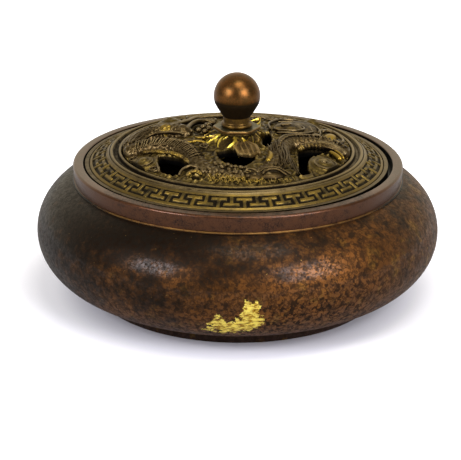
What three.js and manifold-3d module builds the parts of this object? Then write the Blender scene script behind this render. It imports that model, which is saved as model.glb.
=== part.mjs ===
// Lidded bronze incense burner: a squat round bowl on a foot ring, a pierced dragon lid and a ball knob.
// Millimetres, +Z up, origin on the ground under the centre of the bowl.
import * as THREE from 'three';
import Module from 'manifold-3d';
import { mergeVertices } from 'three/addons/utils/BufferGeometryUtils.js';

// Bowl
const bellyRadius = 62.5;
const bellyHeight = 20.6;
const lowerSpread = 20.8;
const upperSpread = 20.4;
const shoulderRise = 15.8;
const shoulderTuck = 1.8;
const bowlWall = 3.2;
const footHeight = 3.4;
const footTuck = 0.3;
const footWidth = 3.6;
const mouthInset = 7.0;
// Collar brazed on the bowl's mouth, with a ledge inside for the lid
const collarHeight = 5.26;
const collarBatter = 0.3;
const collarBead = 0.45;
const lipWidth = 3.2;
const ledgeReach = 3.9;
const ledgeThickness = 2.2;
// Lid border
const lidClearance = 0.9;
const lidShift = -0.45;
const lidRecess = 0.16;
const rimWidth = 1.35;
const grooveWidth = 0.2;
const grooveDepth = 0.3;
const lineLift = 0.1;
const outerLineWidth = 0.85;
const fretDepth = 0.4;
const fretBandWidth = 4.1;
const innerLineWidth = 1.2;
const bandRise = 3.0;
const beadWidth = 2.0;
const beadRise = 0.5;
const crestGap = 0.4;
const crestWidth = 1.4;
const crestHeight = 1.1;
const skirtDepth = 2.4;
const skirtWidth = 2.0;
const seatWidth = 2.3;
const borderThickness = 1.1;
// Dragon openwork
const medallionGap = 0.3;
const edgeDrop = 0.6;
const domeRise = 3.6;
const plateThickness = 2.2;
const bodyRadius = 2.6;
const hindRadius = 3.2;
const scrollRadius = 1.5;
const bossRise = 1.2;
const hubRadius = 8.0;
const hubRise = 0.1;
// Knob, petals and their screw
const ballRadius = 7.14;
const knobHeight = 16.7;
const coneStart = 2.46;
const neckRadius = 4.15;
const neckHeight = 3.2;
const beadRadius = 4.9;
const beadHeight = 1.3;
const beadEase = 0.3;
const flangeAcross = 13.2;
const flangeThickness = 0.9;
const petalCount = 8;
const petalHeight = 2.875;
const petalReach = 9.8;
const petalLength = 7.6;
const petalWidth = 4.4;
const petalThickness = 2.0;
const petalTilt = 26;
const petalRoom = 0.35;
const cupRadius = 5.6;
const cupFlare = 1.0;
const screwRadius = 1.6;
const screwClearance = 0.3;
const screwGrip = 5.8;
const screwHeadRadius = 3.0;
const screwHeadHeight = 1.7;
const screwHeadEase = 0.3;
const slotWidth = 0.9;
const slotDepth = 0.8;
const washerRadius = 4.2;
const washerThickness = 0.6;
// Loose fittings inside the bowl
const fitGap = 0.3;
const dishRadius = 38.0;
const dishDepth = 5.0;
const dishWall = 1.0;
const dishBend = 1.4;
const matThickness = 3.0;
const matClearance = 0.6;
const standRadius = 11.0;
const standThickness = 1.6;
const standBoss = 2.2;
const standEase = 0.4;
const pinRadius = 1.1;
const pinHeight = 13.0;
const pinPoint = 2.5;
const pinSocket = 1.2;
// Fineness of the turned shapes
const roundSteps = 48;
const smallSteps = 24;
const arcSteps = 6;
const domeSteps = 4;

const wasm = await Module();
wasm.setup();

// Joins equal corners, drops collapsed triangles and turns the faces outward.
function closed(geometry) {
  const bare = geometry.clone();
  bare.deleteAttribute('normal');
  bare.deleteAttribute('uv');
  const joined = mergeVertices(bare, 1e-4);
  const points = joined.attributes.position;
  const corners = joined.index.array;
  const kept = [];
  const [a, b, c] = [new THREE.Vector3(), new THREE.Vector3(), new THREE.Vector3()];
  let volume = 0;
  for (let i = 0; i < corners.length; i += 3) {
    const [p, q, r] = [corners[i], corners[i + 1], corners[i + 2]];
    if (p === q || q === r || r === p) continue;
    a.fromBufferAttribute(points, p);
    b.fromBufferAttribute(points, q);
    c.fromBufferAttribute(points, r);
    volume += a.dot(b.cross(c));
    kept.push(p, q, r);
  }
  if (volume < 0) {
    for (let i = 0; i < kept.length; i += 3) [kept[i], kept[i + 1]] = [kept[i + 1], kept[i]];
  }
  joined.setIndex(kept);
  return joined;
}

function solid(geometry) {
  const body = closed(geometry);
  return new wasm.Manifold(new wasm.Mesh({
    numProp: 3,
    vertProperties: new Float32Array(body.attributes.position.array),
    triVerts: new Uint32Array(body.index.array),
  }));
}

function shaped(manifold) {
  const mesh = manifold.getMesh();
  const geometry = new THREE.BufferGeometry();
  geometry.setAttribute('position', new THREE.BufferAttribute(new Float32Array(mesh.vertProperties), 3));
  geometry.setIndex(Array.from(mesh.triVerts));
  return geometry;
}

// A turned shape from a profile of [radius, height] pairs; one that misses the axis closes on itself.
function turned(profile, steps = roundSteps) {
  const outline = profile.map(([radius, height]) => new THREE.Vector2(radius, height));
  if (profile[0][0] > 0) outline.push(outline[0].clone());
  const lathe = new THREE.LatheGeometry(outline, steps);
  lathe.rotateX(Math.PI / 2);
  return closed(lathe);
}

// A stretch of an ellipse round [centreRadius, centreHeight], given by its angles from the outward direction.
function arc(centreRadius, centreHeight, spread, rise, from, to, steps = arcSteps) {
  return Array.from({ length: steps + 1 }, (_, i) => {
    const angle = from + ((to - from) * i) / steps;
    return [centreRadius + spread * Math.cos(angle), centreHeight + rise * Math.sin(angle)];
  });
}

function placed(geometry, x, y, z) {
  geometry.translate(x, y, z);
  return geometry;
}

// A tube along a smooth curve through hand-set points.
function tube(points, radius, steps, sides = 6) {
  const path = new THREE.CatmullRomCurve3(points.map(([x, y, z]) => new THREE.Vector3(x, y, z)));
  const section = new THREE.Shape();
  for (let i = 0; i < sides; i += 1) {
    const angle = (2 * Math.PI * i) / sides;
    const [u, v] = [radius * Math.cos(angle), radius * Math.sin(angle)];
    if (i === 0) section.moveTo(u, v);
    else section.lineTo(u, v);
  }
  section.closePath();
  return new THREE.ExtrudeGeometry(section, { steps, extrudePath: path, bevelEnabled: false });
}

function bronze(color, roughness, metalness = 1) {
  return new THREE.MeshStandardMaterial({ color, roughness, metalness });
}

const bellyBronze = bronze(0x4a2f1e, 0.38);
const collarBronze = bronze(0x50382a, 0.36);
const footBronze = bronze(0x2a211b, 0.5);
const lidBronze = bronze(0x6b5730, 0.42);
const petalGilt = bronze(0xb08a30, 0.3);
const knobBronze = bronze(0x6e4424, 0.28);
const brass = bronze(0xa98a4b, 0.4);
const steel = bronze(0x8d8c88, 0.4);
const matFibre = bronze(0xcfcac0, 0.95, 0);

// Bowl: the belly is two quarter ellipses, cast with an even wall
const lowerDepth = bellyHeight - footHeight + footTuck;
const upperRise = shoulderRise + shoulderTuck;
const bowlTop = bellyHeight + shoulderRise;
const footAngle = -Math.asin((lowerDepth - footTuck) / lowerDepth);
const topAngle = Math.asin(shoulderRise / upperRise);
const footRadius = bellyRadius - lowerSpread + lowerSpread * Math.cos(footAngle);
const shoulderRadius = bellyRadius - upperSpread + upperSpread * Math.cos(topAngle);
const mouthRadius = shoulderRadius - mouthInset;
const bowlFloor = footHeight - footTuck + bowlWall;

function bowlShell() {
  const lowerCentre = bellyRadius - lowerSpread;
  const upperCentre = bellyRadius - upperSpread;
  const mouthAngle = Math.acos((mouthRadius - upperCentre) / (upperSpread - bowlWall));
  const lowerIn = [lowerSpread - bowlWall, lowerDepth - bowlWall];
  const upperIn = [upperSpread - bowlWall, upperRise - bowlWall];
  return turned([
    [0, footHeight],
    ...arc(lowerCentre, bellyHeight, lowerSpread, lowerDepth, footAngle, 0),
    ...arc(upperCentre, bellyHeight, upperSpread, upperRise, 0, topAngle).slice(1),
    [mouthRadius, bowlTop],
    ...arc(upperCentre, bellyHeight, ...upperIn, mouthAngle, 0),
    ...arc(lowerCentre, bellyHeight, ...lowerIn, 0, -Math.PI / 2).slice(1),
    [0, bellyHeight - lowerIn[1]],
  ]);
}

function footRing() {
  return turned([
    [footRadius - footWidth, 0],
    [footRadius - collarBatter, 0],
    [footRadius, footHeight],
    [footRadius - footWidth, footHeight],
  ]);
}

// Collar: a straight wall with a flat lip, a bead at its foot and a ledge that carries the lid
const collarRadius = shoulderRadius - collarBead;
const collarTop = bowlTop + collarHeight;
const boreRadius = collarRadius + collarBatter - lipWidth;
const ledgeTop = bowlTop + ledgeThickness;
const ledgeRadius = boreRadius - ledgeReach;

function rimCollar() {
  const ease = collarBatter;
  return turned([
    [ledgeRadius, bowlTop],
    [shoulderRadius, bowlTop],
    [shoulderRadius, bowlTop + collarBead],
    [collarRadius, bowlTop + 2 * collarBead],
    [collarRadius + collarBatter, collarTop - ease],
    [collarRadius + collarBatter - ease, collarTop],
    [boreRadius + ease, collarTop],
    [boreRadius, collarTop - ease],
    [boreRadius, ledgeTop],
    [ledgeRadius, ledgeTop],
  ]);
}

// Lid border: rim, groove, sloping fret band between two lines, bead and crest, with a skirt below
const lidRadius = boreRadius - lidClearance;
const rimTop = collarTop - lidRecess;
const grooveRadius = lidRadius - rimWidth;
const outerLine = grooveRadius - grooveWidth;
const fieldOuter = outerLine - outerLineWidth;
const fieldInner = fieldOuter - fretBandWidth;
const innerLine = fieldInner - innerLineWidth;
const beadInner = innerLine - beadWidth;
const crestOuter = beadInner - crestGap;
const windowRadius = crestOuter - crestWidth;
const bandFoot = rimTop + lineLift;
const bandTop = bandFoot + bandRise;
const bandAt = (radius) => bandFoot + (bandRise * (outerLine - radius)) / (outerLine - innerLine);
const domeEdge = bandTop + crestHeight - edgeDrop;
const seatTop = domeEdge - plateThickness;
const skirtRadius = ledgeRadius - lidClearance;

function lidBorder() {
  const bead = arc(innerLine - beadWidth / 2, bandTop, beadWidth / 2, beadRise, 0, Math.PI, 4);
  const crest = arc(crestOuter - crestWidth / 2, bandTop, crestWidth / 2, crestHeight, 0, Math.PI, 4);
  return turned([
    [skirtRadius - skirtWidth, ledgeTop - skirtDepth],
    [skirtRadius, ledgeTop - skirtDepth],
    [skirtRadius, ledgeTop],
    [lidRadius, ledgeTop],
    [lidRadius, rimTop],
    [grooveRadius, rimTop],
    [grooveRadius, rimTop - grooveDepth],
    [outerLine, rimTop - grooveDepth],
    [outerLine, bandFoot],
    [fieldOuter, bandAt(fieldOuter)],
    [fieldOuter, bandAt(fieldOuter) - fretDepth],
    [fieldInner, bandAt(fieldInner) - fretDepth],
    [fieldInner, bandAt(fieldInner)],
    ...bead,
    ...crest,
    [windowRadius, seatTop],
    [windowRadius - seatWidth, seatTop],
    [windowRadius - seatWidth, seatTop - borderThickness],
    [skirtRadius - skirtWidth, ledgeTop + borderThickness],
  ]);
}

// Dragon openwork: a shallow domed plate, cut through between the figures
const medallionRadius = windowRadius - medallionGap;
const hubTop = domeEdge + domeRise + hubRise;
const screwHole = screwRadius + screwClearance;
const domeAt = (radius) => domeEdge + domeRise * (1 - (radius / medallionRadius) ** 2);

// The figures are drawn on a plate of this radius and follow the real one. Front is at -Y.
const drawnRadius = 35;
const figureScale = medallionRadius / drawnRadius;

// Outlines of the holes, seen from above
const holes = [
  [[-23.2, -13.0], [-18.4, -15.2], [-15.6, -18.2], [-13.8, -21.8], [-15.8, -24.2], [-17.0, -27.6],
    [-19.8, -26.8], [-22.2, -24.4], [-23.2, -18.6]],
  [[-13.8, -29.8], [-12.6, -28.6], [-11.2, -29.2], [-10.8, -30.8], [-12.4, -31.0]],
  [[-6.0, -13.6], [-2.4, -11.2], [2.0, -12.0], [5.4, -15.6], [4.6, -20.4], [2.2, -23.2], [-1.4, -22.4],
    [-4.6, -19.2]],
  [[7.9, 0.6], [8.8, 4.0], [10.0, 4.4], [10.8, 0.4], [10.4, -5.0], [9.4, -8.2], [7.9, -7.0], [7.8, -3.4]],
  [[18.4, -11.4], [20.2, -8.0], [23.6, -6.2], [28.6, -5.6], [28.4, -8.4], [24.6, -10.8], [21.8, -16.6],
    [21.0, -21.0], [21.4, -25.2], [19.0, -26.8], [17.0, -27.6], [18.3, -23.6], [18.4, -17.0]],
  [[-13.4, 8.6], [-11.4, 8.4], [-10.8, 11.0], [-11.4, 14.2], [-13.0, 13.4]],
  [[-4.8, 13.4], [0.4, 12.2], [5.6, 13.8], [6.2, 18.6], [1.0, 21.6], [-4.4, 19.6]],
  [[27.8, 7.6], [30.6, 8.0], [30.2, 11.2], [27.6, 10.6]],
];

// Middle lines of the figures, each point with its height above the dome.
// The body runs from the left edge over an arch, round the front and over a second arch to the right edge.
const dragonPath = [
  [-33.4, -9.6, 0.2], [-31.0, -6.8, 0.2], [-26.4, -6.4, 0.3], [-21.8, -7.4, 0.4], [-18.0, -9.6, 0.4],
  [-15.0, -12.8, 0.4], [-12.8, -16.8, 0.2], [-11.0, -21.2, 0.0], [-7.6, -25.4, -0.2], [-2.4, -27.8, -0.4],
  [3.4, -27.4, -0.4], [8.6, -24.6, 0.0], [12.0, -20.2, 0.2], [13.0, -15.4, 0.3], [13.8, -10.4, 0.4],
  [16.0, -6.4, 0.4], [19.8, -4.6, 0.4], [24.2, -3.3, 0.4], [28.2, -3.2, 0.2], [31.2, -5.2, 0.0],
  [33.2, -9.0, -0.2],
];
// The haunch behind the left arch, the curl beside it and the cloud scrolls at the back
const hindPath = [
  [-33.6, -3.0, 0.0], [-30.6, 1.6, 0.0], [-27.0, 5.0, 0.2], [-22.6, 6.2, 0.4], [-18.0, 5.6, 0.2],
  [-14.6, 2.6, -0.2],
];
const curlPath = [
  [-14.6, 3.0, 0.4], [-15.2, 8.0, 0.4], [-14.2, 12.8, 0.4], [-11.8, 16.4, 0.4], [-8.6, 16.8, 0.2],
];
const scrollPath = [
  [10.4, 7.8, 0.4], [10.6, 14.6, 0.4], [14.2, 21.4, 0.4], [19.6, 22.8, 0.4], [23.8, 18.2, 0.4],
  [25.8, 11.6, 0.4], [25.4, 5.2, 0.4], [20.4, 2.6, 0.4],
];
const backPath = [
  [-26.0, 18.4, 0.0], [-20.6, 16.4, 0.2], [-16.2, 20.2, 0.2], [-12.4, 26.0, 0.2], [-5.0, 27.4, 0.2],
  [3.2, 26.6, 0.2], [10.6, 28.4, 0.0],
];
const cloudBosses = [
  [26.2, -17.6, 5.2], [-27.8, -17.8, 4.8], [-21.6, 22.6, 4.4], [0.0, 31.0, 3.4], [24.6, 24.4, 3.6],
];
const headPlace = [9.4, -28.2, 0.6];
const headSize = [5.8, 3.6, 2.4];

function lifted([x, y, lift]) {
  const [u, v] = [x * figureScale, y * figureScale];
  return [u, v, domeAt(Math.hypot(u, v)) + lift];
}

function dragonMedallion() {
  const dome = Array.from({ length: domeSteps + 1 }, (_, i) => {
    const radius = medallionRadius + ((hubRadius - medallionRadius) * i) / domeSteps;
    return [radius, domeAt(radius)];
  });
  const under = dome.slice(1, -1).reverse().map(([radius, height]) => [radius, height - plateThickness]);
  let body = solid(turned([
    [screwHole, hubTop - plateThickness],
    [hubRadius, hubTop - plateThickness],
    ...under,
    [medallionRadius - seatWidth + medallionGap, seatTop],
    [medallionRadius, seatTop],
    ...dome,
    [hubRadius, hubTop],
    [screwHole, hubTop],
  ]));
  for (const points of holes) {
    const edge = new THREE.CatmullRomCurve3(points.map(([x, y]) => new THREE.Vector3(x, y, 0)), true);
    const outline = new THREE.Shape(edge.getPoints(2 * points.length).slice(0, -1)
      .map(({ x, y }) => new THREE.Vector2(x * figureScale, y * figureScale)));
    const depth = domeRise + 3 * plateThickness;
    const cutter = new THREE.ExtrudeGeometry(outline, { depth, bevelEnabled: false });
    body = body.subtract(solid(placed(cutter, 0, 0, seatTop - plateThickness)));
  }
  const figures = [
    [dragonPath, bodyRadius, 40, 8], [hindPath, hindRadius, 12, 8], [curlPath, scrollRadius, 10, 6],
    [scrollPath, scrollRadius, 16, 6], [backPath, scrollRadius, 14, 6],
  ];
  for (const [path, radius, steps, sides] of figures) {
    body = body.add(solid(tube(path.map(lifted), radius, steps, sides)));
  }
  for (const [x, y, radius] of cloudBosses) {
    const [u, v, top] = lifted([x, y, 0]);
    const boss = turned([
      [0, top - plateThickness], [radius, top - plateThickness], [radius, top + 0.4 * bossRise],
      [0.8 * radius, top + 0.8 * bossRise], [0, top + bossRise],
    ], smallSteps / 2);
    body = body.add(solid(placed(boss, u, v, 0)));
  }
  const head = new THREE.SphereGeometry(1, 12, 8).rotateX(Math.PI / 2).scale(...headSize);
  body = body.add(solid(placed(head, ...lifted(headPlace))));
  const room = solid(turned([
    [0, seatTop], [medallionRadius, seatTop], [medallionRadius, bandTop + crestHeight],
    [medallionRadius - seatWidth, hubTop + 2 * bodyRadius], [0, hubTop + 2 * bodyRadius],
  ]));
  return shaped(body.intersect(room));
}

// Petal seat: a ring of drooping leaves under the knob's flange
function petalSeat() {
  const top = hubTop + petalHeight;
  let body = solid(turned([
    [screwHole, hubTop], [cupRadius, hubTop], [cupRadius + cupFlare, top], [screwHole, top],
  ], smallSteps));
  for (let i = 0; i < petalCount; i += 1) {
    const petal = new THREE.SphereGeometry(1, 8, 5).rotateX(Math.PI / 2)
      .scale(petalWidth / 2, petalLength / 2, petalThickness / 2)
      .rotateX(THREE.MathUtils.degToRad(petalTilt))
      .translate(0, petalLength / 2 - petalReach, hubTop + petalHeight / 2)
      .rotateZ((2 * Math.PI * i) / petalCount);
    body = body.add(solid(petal));
  }
  const room = solid(turned([
    [screwHole, hubTop], [cupRadius, hubTop], [cupRadius + cupFlare, hubTop + petalRoom],
    [petalReach, hubTop + petalRoom], [petalReach, top], [screwHole, top],
  ], smallSteps));
  return shaped(body.intersect(room));
}

const flangeFoot = hubTop + petalHeight;
const knobFoot = flangeFoot + flangeThickness;

function knobFlange() {
  const corner = flangeAcross / (2 * Math.cos(Math.PI / 6));
  const outline = new THREE.Shape(Array.from({ length: 6 }, (_, i) => new THREE.Vector2(
    corner * Math.cos((Math.PI * i) / 3),
    corner * Math.sin((Math.PI * i) / 3),
  )));
  const bore = new THREE.Path();
  bore.absarc(0, 0, screwHole, 0, 2 * Math.PI, true);
  outline.holes.push(bore);
  const plate = new THREE.ExtrudeGeometry(outline, {
    depth: flangeThickness, bevelEnabled: false, curveSegments: smallSteps / 2,
  });
  return closed(placed(plate, 0, 0, flangeFoot));
}

function knob() {
  const centre = knobFoot + knobHeight - ballRadius;
  const coneAngle = -Math.asin(coneStart / ballRadius);
  const ball = arc(0, centre, ballRadius, ballRadius, coneAngle, Math.PI / 2, 9).slice(0, -1);
  return turned([
    [0, knobFoot + screwGrip],
    [screwHole, knobFoot + screwGrip],
    [screwHole, knobFoot],
    [beadRadius - beadEase, knobFoot],
    [beadRadius, knobFoot + 0.4 * beadHeight],
    [beadRadius - beadEase, knobFoot + 0.8 * beadHeight],
    [neckRadius, knobFoot + beadHeight],
    [neckRadius, knobFoot + neckHeight],
    ...ball,
    [0, centre + ballRadius],
  ], smallSteps);
}

// Screw and washer under the lid hold the knob, flange and petals to the openwork
const hubUnder = hubTop - plateThickness;
const headTop = hubUnder - washerThickness;

function knobScrew() {
  const headFoot = headTop - screwHeadHeight;
  const screw = solid(turned([
    [0, headFoot],
    [screwHeadRadius - screwHeadEase, headFoot],
    [screwHeadRadius, headFoot + screwHeadEase],
    [screwHeadRadius, headTop],
    [screwRadius, headTop],
    [screwRadius, knobFoot + screwGrip - screwClearance],
    [0, knobFoot + screwGrip - screwClearance],
  ], smallSteps));
  const slot = new THREE.BoxGeometry(3 * screwHeadRadius, slotWidth, 2 * slotDepth);
  return shaped(screw.subtract(solid(placed(slot, 0, 0, headFoot))));
}

function screwWasher() {
  return turned([
    [screwHole, headTop], [washerRadius, headTop], [washerRadius, hubUnder], [screwHole, hubUnder],
  ], smallSteps);
}

// Loose fittings: a spun dish on the floor, a fireproof mat in it and a pin stand for an incense coil
const dishFoot = bowlFloor;
const matFoot = dishFoot + dishWall;
const standFoot = matFoot + matThickness;

function linerDish() {
  return turned([
    [0, dishFoot],
    [dishRadius - dishBend, dishFoot],
    [dishRadius - 0.3 * dishBend, dishFoot + 0.3 * dishBend],
    [dishRadius, dishFoot + dishBend],
    [dishRadius, dishFoot + dishDepth],
    [dishRadius - dishWall, dishFoot + dishDepth],
    [dishRadius - dishWall, matFoot + 0.6 * dishBend],
    [dishRadius - dishWall - 0.6 * dishBend, matFoot],
    [0, matFoot],
  ]);
}

function ashMat() {
  const radius = dishRadius - dishWall - 0.6 * dishBend - matClearance;
  return turned([
    [0, matFoot], [radius, matFoot], [radius, matFoot + matThickness], [0, matFoot + matThickness],
  ]);
}

function coilStand() {
  const top = standFoot + standThickness;
  return turned([
    [0, standFoot],
    [standRadius, standFoot],
    [standRadius, top - standEase],
    [standRadius - standEase, top],
    [pinRadius + standBoss, top],
    [pinRadius + standBoss - standEase, top + standBoss],
    [pinRadius + fitGap, top + standBoss],
    [pinRadius + fitGap, top + standBoss - pinSocket],
    [0, top + standBoss - pinSocket],
  ], smallSteps);
}

function standPin() {
  const foot = standFoot + standThickness + standBoss - pinSocket;
  return turned([
    [0, foot], [pinRadius, foot], [pinRadius, foot + pinHeight - pinPoint], [0, foot + pinHeight],
  ], 12);
}

function piece(name, geometry, material) {
  const mesh = new THREE.Mesh(geometry, material);
  mesh.name = name;
  return mesh;
}

const burner = new THREE.Group();
burner.add(
  piece('bowl_shell', bowlShell(), bellyBronze),
  piece('foot_ring', footRing(), footBronze),
  piece('rim_collar', rimCollar(), collarBronze),
  piece('liner_dish', linerDish(), brass),
  piece('ash_mat', ashMat(), matFibre),
  piece('coil_stand', coilStand(), brass),
  piece('stand_pin', standPin(), brass),
);

const lid = new THREE.Group();
lid.position.x = lidShift;
lid.add(
  piece('lid_border', lidBorder(), lidBronze),
  piece('dragon_medallion', dragonMedallion(), lidBronze),
  piece('petal_seat', petalSeat(), petalGilt),
  piece('knob_flange', knobFlange(), lidBronze),
  piece('knob', knob(), knobBronze),
  piece('knob_screw', knobScrew(), steel),
  piece('screw_washer', screwWasher(), brass),
);
burner.add(lid);

export default burner;
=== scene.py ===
import math

import bmesh
import bpy
import numpy as np
from mathutils import Matrix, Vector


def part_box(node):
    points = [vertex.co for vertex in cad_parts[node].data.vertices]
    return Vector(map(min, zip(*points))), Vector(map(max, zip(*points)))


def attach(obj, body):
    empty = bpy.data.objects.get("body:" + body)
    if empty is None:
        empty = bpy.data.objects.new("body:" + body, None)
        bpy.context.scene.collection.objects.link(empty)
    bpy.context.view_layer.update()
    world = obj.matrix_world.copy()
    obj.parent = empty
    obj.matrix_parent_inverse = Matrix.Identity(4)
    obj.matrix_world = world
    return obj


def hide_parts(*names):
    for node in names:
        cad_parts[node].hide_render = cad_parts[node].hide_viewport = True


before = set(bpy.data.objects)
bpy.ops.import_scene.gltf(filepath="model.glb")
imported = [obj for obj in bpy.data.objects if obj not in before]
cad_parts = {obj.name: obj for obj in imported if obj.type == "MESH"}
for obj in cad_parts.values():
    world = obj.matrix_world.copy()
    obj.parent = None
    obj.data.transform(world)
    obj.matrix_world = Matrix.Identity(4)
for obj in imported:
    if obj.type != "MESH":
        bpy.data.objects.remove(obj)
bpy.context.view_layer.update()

mm = 0.001

# Camera, lamps and floor
# The burner was photographed from about half a metre with a long lens, a little above it, the picture
# turned by a third of a degree. A small soft box stands on the left, a larger one on the right and one
# nearly overhead. The sheet of paper under the burner fades to white round it.
camera_place = (-2.17 * mm, -470.6 * mm, 199.0 * mm)
camera_pitch = math.radians(21.02)
camera_roll = math.radians(0.37)
camera_lens = 124.98
camera_sensor = 36.0
lamp_aim = 30 * mm
paper_half = 3.0
shadow_start, shadow_end, paper_end = 46 * mm, 60 * mm, 130 * mm
mirror_start, mirror_end = 100 * mm, 400 * mm

camera = bpy.data.objects.new("camera", bpy.data.cameras.new("camera"))
camera.data.lens = camera_lens
camera.data.sensor_width = camera_sensor
camera.matrix_world = (
    Matrix.Translation(camera_place)
    @ Matrix.Rotation(math.pi / 2 - camera_pitch, 4, "X")
    @ Matrix.Rotation(camera_roll, 4, "Z")
)
bpy.context.collection.objects.link(camera)
bpy.context.scene.camera = camera
bpy.context.scene.view_settings.view_transform = "Standard"

# square lamps that face the burner: azimuth in degrees from the front towards the right, elevation in
# degrees, distance and width in metres
for name, azimuth, elevation, distance, width, power, color in [
        ("soft_box_left", -49, 29, 0.7, 0.24, 3.3, (0.97, 0.94, 1.0)),
        ("soft_box_right", 40, 29, 0.7, 0.36, 4.2, (0.97, 0.94, 1.0)),
        ("soft_box_top", 26, 73, 0.8, 0.36, 3.2, (1.0, 0.96, 0.88))]:
    lamp = bpy.data.objects.new(name, bpy.data.lights.new(name, "AREA"))
    lamp.data.shape = "SQUARE"
    lamp.data.size = width
    lamp.data.energy = power
    lamp.data.color = color
    azimuth, elevation = math.radians(azimuth), math.radians(elevation)
    lamp.location = (
        distance * math.sin(azimuth) * math.cos(elevation),
        -distance * math.cos(azimuth) * math.cos(elevation),
        distance * math.sin(elevation) + lamp_aim,
    )
    lamp.rotation_euler = (math.pi / 2 - elevation, 0, azimuth)
    bpy.context.collection.objects.link(lamp)


class Value:
    """A socket of a material. Arithmetic on it adds Math nodes; any other node comes from make."""

    def __init__(self, tree, socket=None):
        self.tree = tree
        self.socket = socket

    def make(self, kind, settings, inputs, output=0):
        """An output of a new node of this kind, its settings set first and then its inputs."""
        node = self.tree.nodes.new(kind)
        for name, setting in settings.items():
            setattr(node, name, setting)
        self.feed(node, inputs)
        return Value(self.tree, node.outputs[output])

    def feed(self, node, inputs):
        """Sets each input of the node, or links it where it is given a Value."""
        for name, value in inputs.items():
            if isinstance(value, Value):
                self.tree.links.new(value.socket, node.inputs[name])
            else:
                node.inputs[name].default_value = value

    def math(self, operation, first, second=0.0):
        return self.make("ShaderNodeMath", {"operation": operation}, {0: first, 1: second})

    def __add__(self, other):
        return self.math("ADD", self, other)

    __radd__ = __add__

    def __sub__(self, other):
        return self.math("SUBTRACT", self, other)

    def __rsub__(self, other):
        return self.math("SUBTRACT", other, self)

    def __mul__(self, other):
        return self.math("MULTIPLY", self, other)

    __rmul__ = __mul__

    def __pow__(self, other):
        return self.math("POWER", self, other)

    def step(self, low, high):
        """0 below low, 1 above high and smooth between; turned round where low is the larger."""
        return self.make(
            "ShaderNodeMapRange", {"interpolation_type": "SMOOTHSTEP"},
            {"Value": self, "From Min": low, "From Max": high})

    def along(self, axis):
        """How far this place lies along the axis X, Y or Z."""
        return self.make("ShaderNodeSeparateXYZ", {}, {"Vector": self}, axis)

    def squeezed(self, sideways):
        """This place with its X and Y made smaller, which draws a pattern out into level streaks."""
        return self.make(
            "ShaderNodeVectorMath", {"operation": "MULTIPLY"}, {0: self, 1: (sideways, sideways, 1.0)})

    def noise(self, size, detail=3.0, roughness=0.55, offset=0.0):
        """Noise on this place whose blotches are about size across."""
        moved = self.make(
            "ShaderNodeVectorMath", {"operation": "ADD"}, {0: self, 1: (offset, offset, offset)})
        return self.make(
            "ShaderNodeTexNoise", {},
            {"Vector": moved, "Scale": 1 / size, "Detail": detail, "Roughness": roughness})

    def mix(self, low, high):
        """The colour low where this is 0 and high where it is 1."""
        return self.make(
            "ShaderNodeMix", {"data_type": "RGBA"}, {"Factor": self, 6: low, 7: high}, 2)

    def bump(self, distance, strength=1.0):
        """A normal bent as if the surface rose by this share of the distance."""
        return self.make(
            "ShaderNodeBump", {}, {"Height": self, "Distance": distance, "Strength": strength})


def rgb(red, green, blue):
    """A colour as it looks on screen, 0 to 255, in the linear light that shaders use."""
    light = [((c / 255 + 0.055) / 1.055) ** 2.4 if c > 10 else c / 255 / 12.92 for c in (red, green, blue)]
    return (*light, 1)


def new_material(name):
    """A new material, its Principled shader and the place on the piece that patterns start from."""
    material = bpy.data.materials.new(name)
    material.use_nodes = True
    tree = material.node_tree
    place = Value(tree).make("ShaderNodeTexCoord", {}, {}, "Object")
    return material, tree.nodes["Principled BSDF"], place


# the paper shines white to the camera beyond the burner's shadow, and dimly in what mirrors it
paper, paper_shader, paper_place = new_material("paper_floor")
seen = paper_place.make("ShaderNodeLightPath", {}, {}, "Is Camera Ray")
mirrored = paper_place.make("ShaderNodeLightPath", {}, {}, "Is Glossy Ray")
away = paper_place.make("ShaderNodeVectorMath", {"operation": "LENGTH"}, {0: paper_place}, "Value")
beside = away.step(shadow_start, shadow_end) * 0.33 + away.step(shadow_end, paper_end) * 0.67
glow = seen * beside + mirrored * away.step(mirror_start, mirror_end) * 0.7
paper_place.feed(paper_shader, {
    "Base Color": seen.mix((0.42, 0.42, 0.43, 1), (0.73, 0.745, 0.81, 1)),
    "Emission Color": glow.mix((0, 0, 0, 1), (0.9, 0.9, 0.9, 1)),
    "Emission Strength": 1.0, "Roughness": 0.9, "Specular IOR Level": 0.0})

floor_mesh = bpy.data.meshes.new("paper_floor")
floor_mesh.from_pydata(
    [(-paper_half, -paper_half, 0), (paper_half, -paper_half, 0), (paper_half, paper_half, 0),
     (-paper_half, paper_half, 0)], [], [(0, 1, 2, 3)])
floor_mesh.materials.append(paper)
floor = bpy.data.objects.new("paper_floor", floor_mesh)
bpy.context.collection.objects.link(floor)

# the room: white to the camera, dark in front and warm and bright behind
world = bpy.data.worlds.new("studio")
world.use_nodes = True
bpy.context.scene.world = world
sky = Value(world.node_tree)
seen = sky.make("ShaderNodeLightPath", {}, {}, "Is Camera Ray")
backward = sky.make("ShaderNodeTexCoord", {}, {}, "Generated").along("Y")
room = backward.step(-0.1, 0.75).mix((0.08, 0.076, 0.066, 1), (0.98, 0.89, 0.7, 1))
sky.feed(world.node_tree.nodes["Background"], {"Color": seen.mix(room, (1, 1, 1, 1))})


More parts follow.
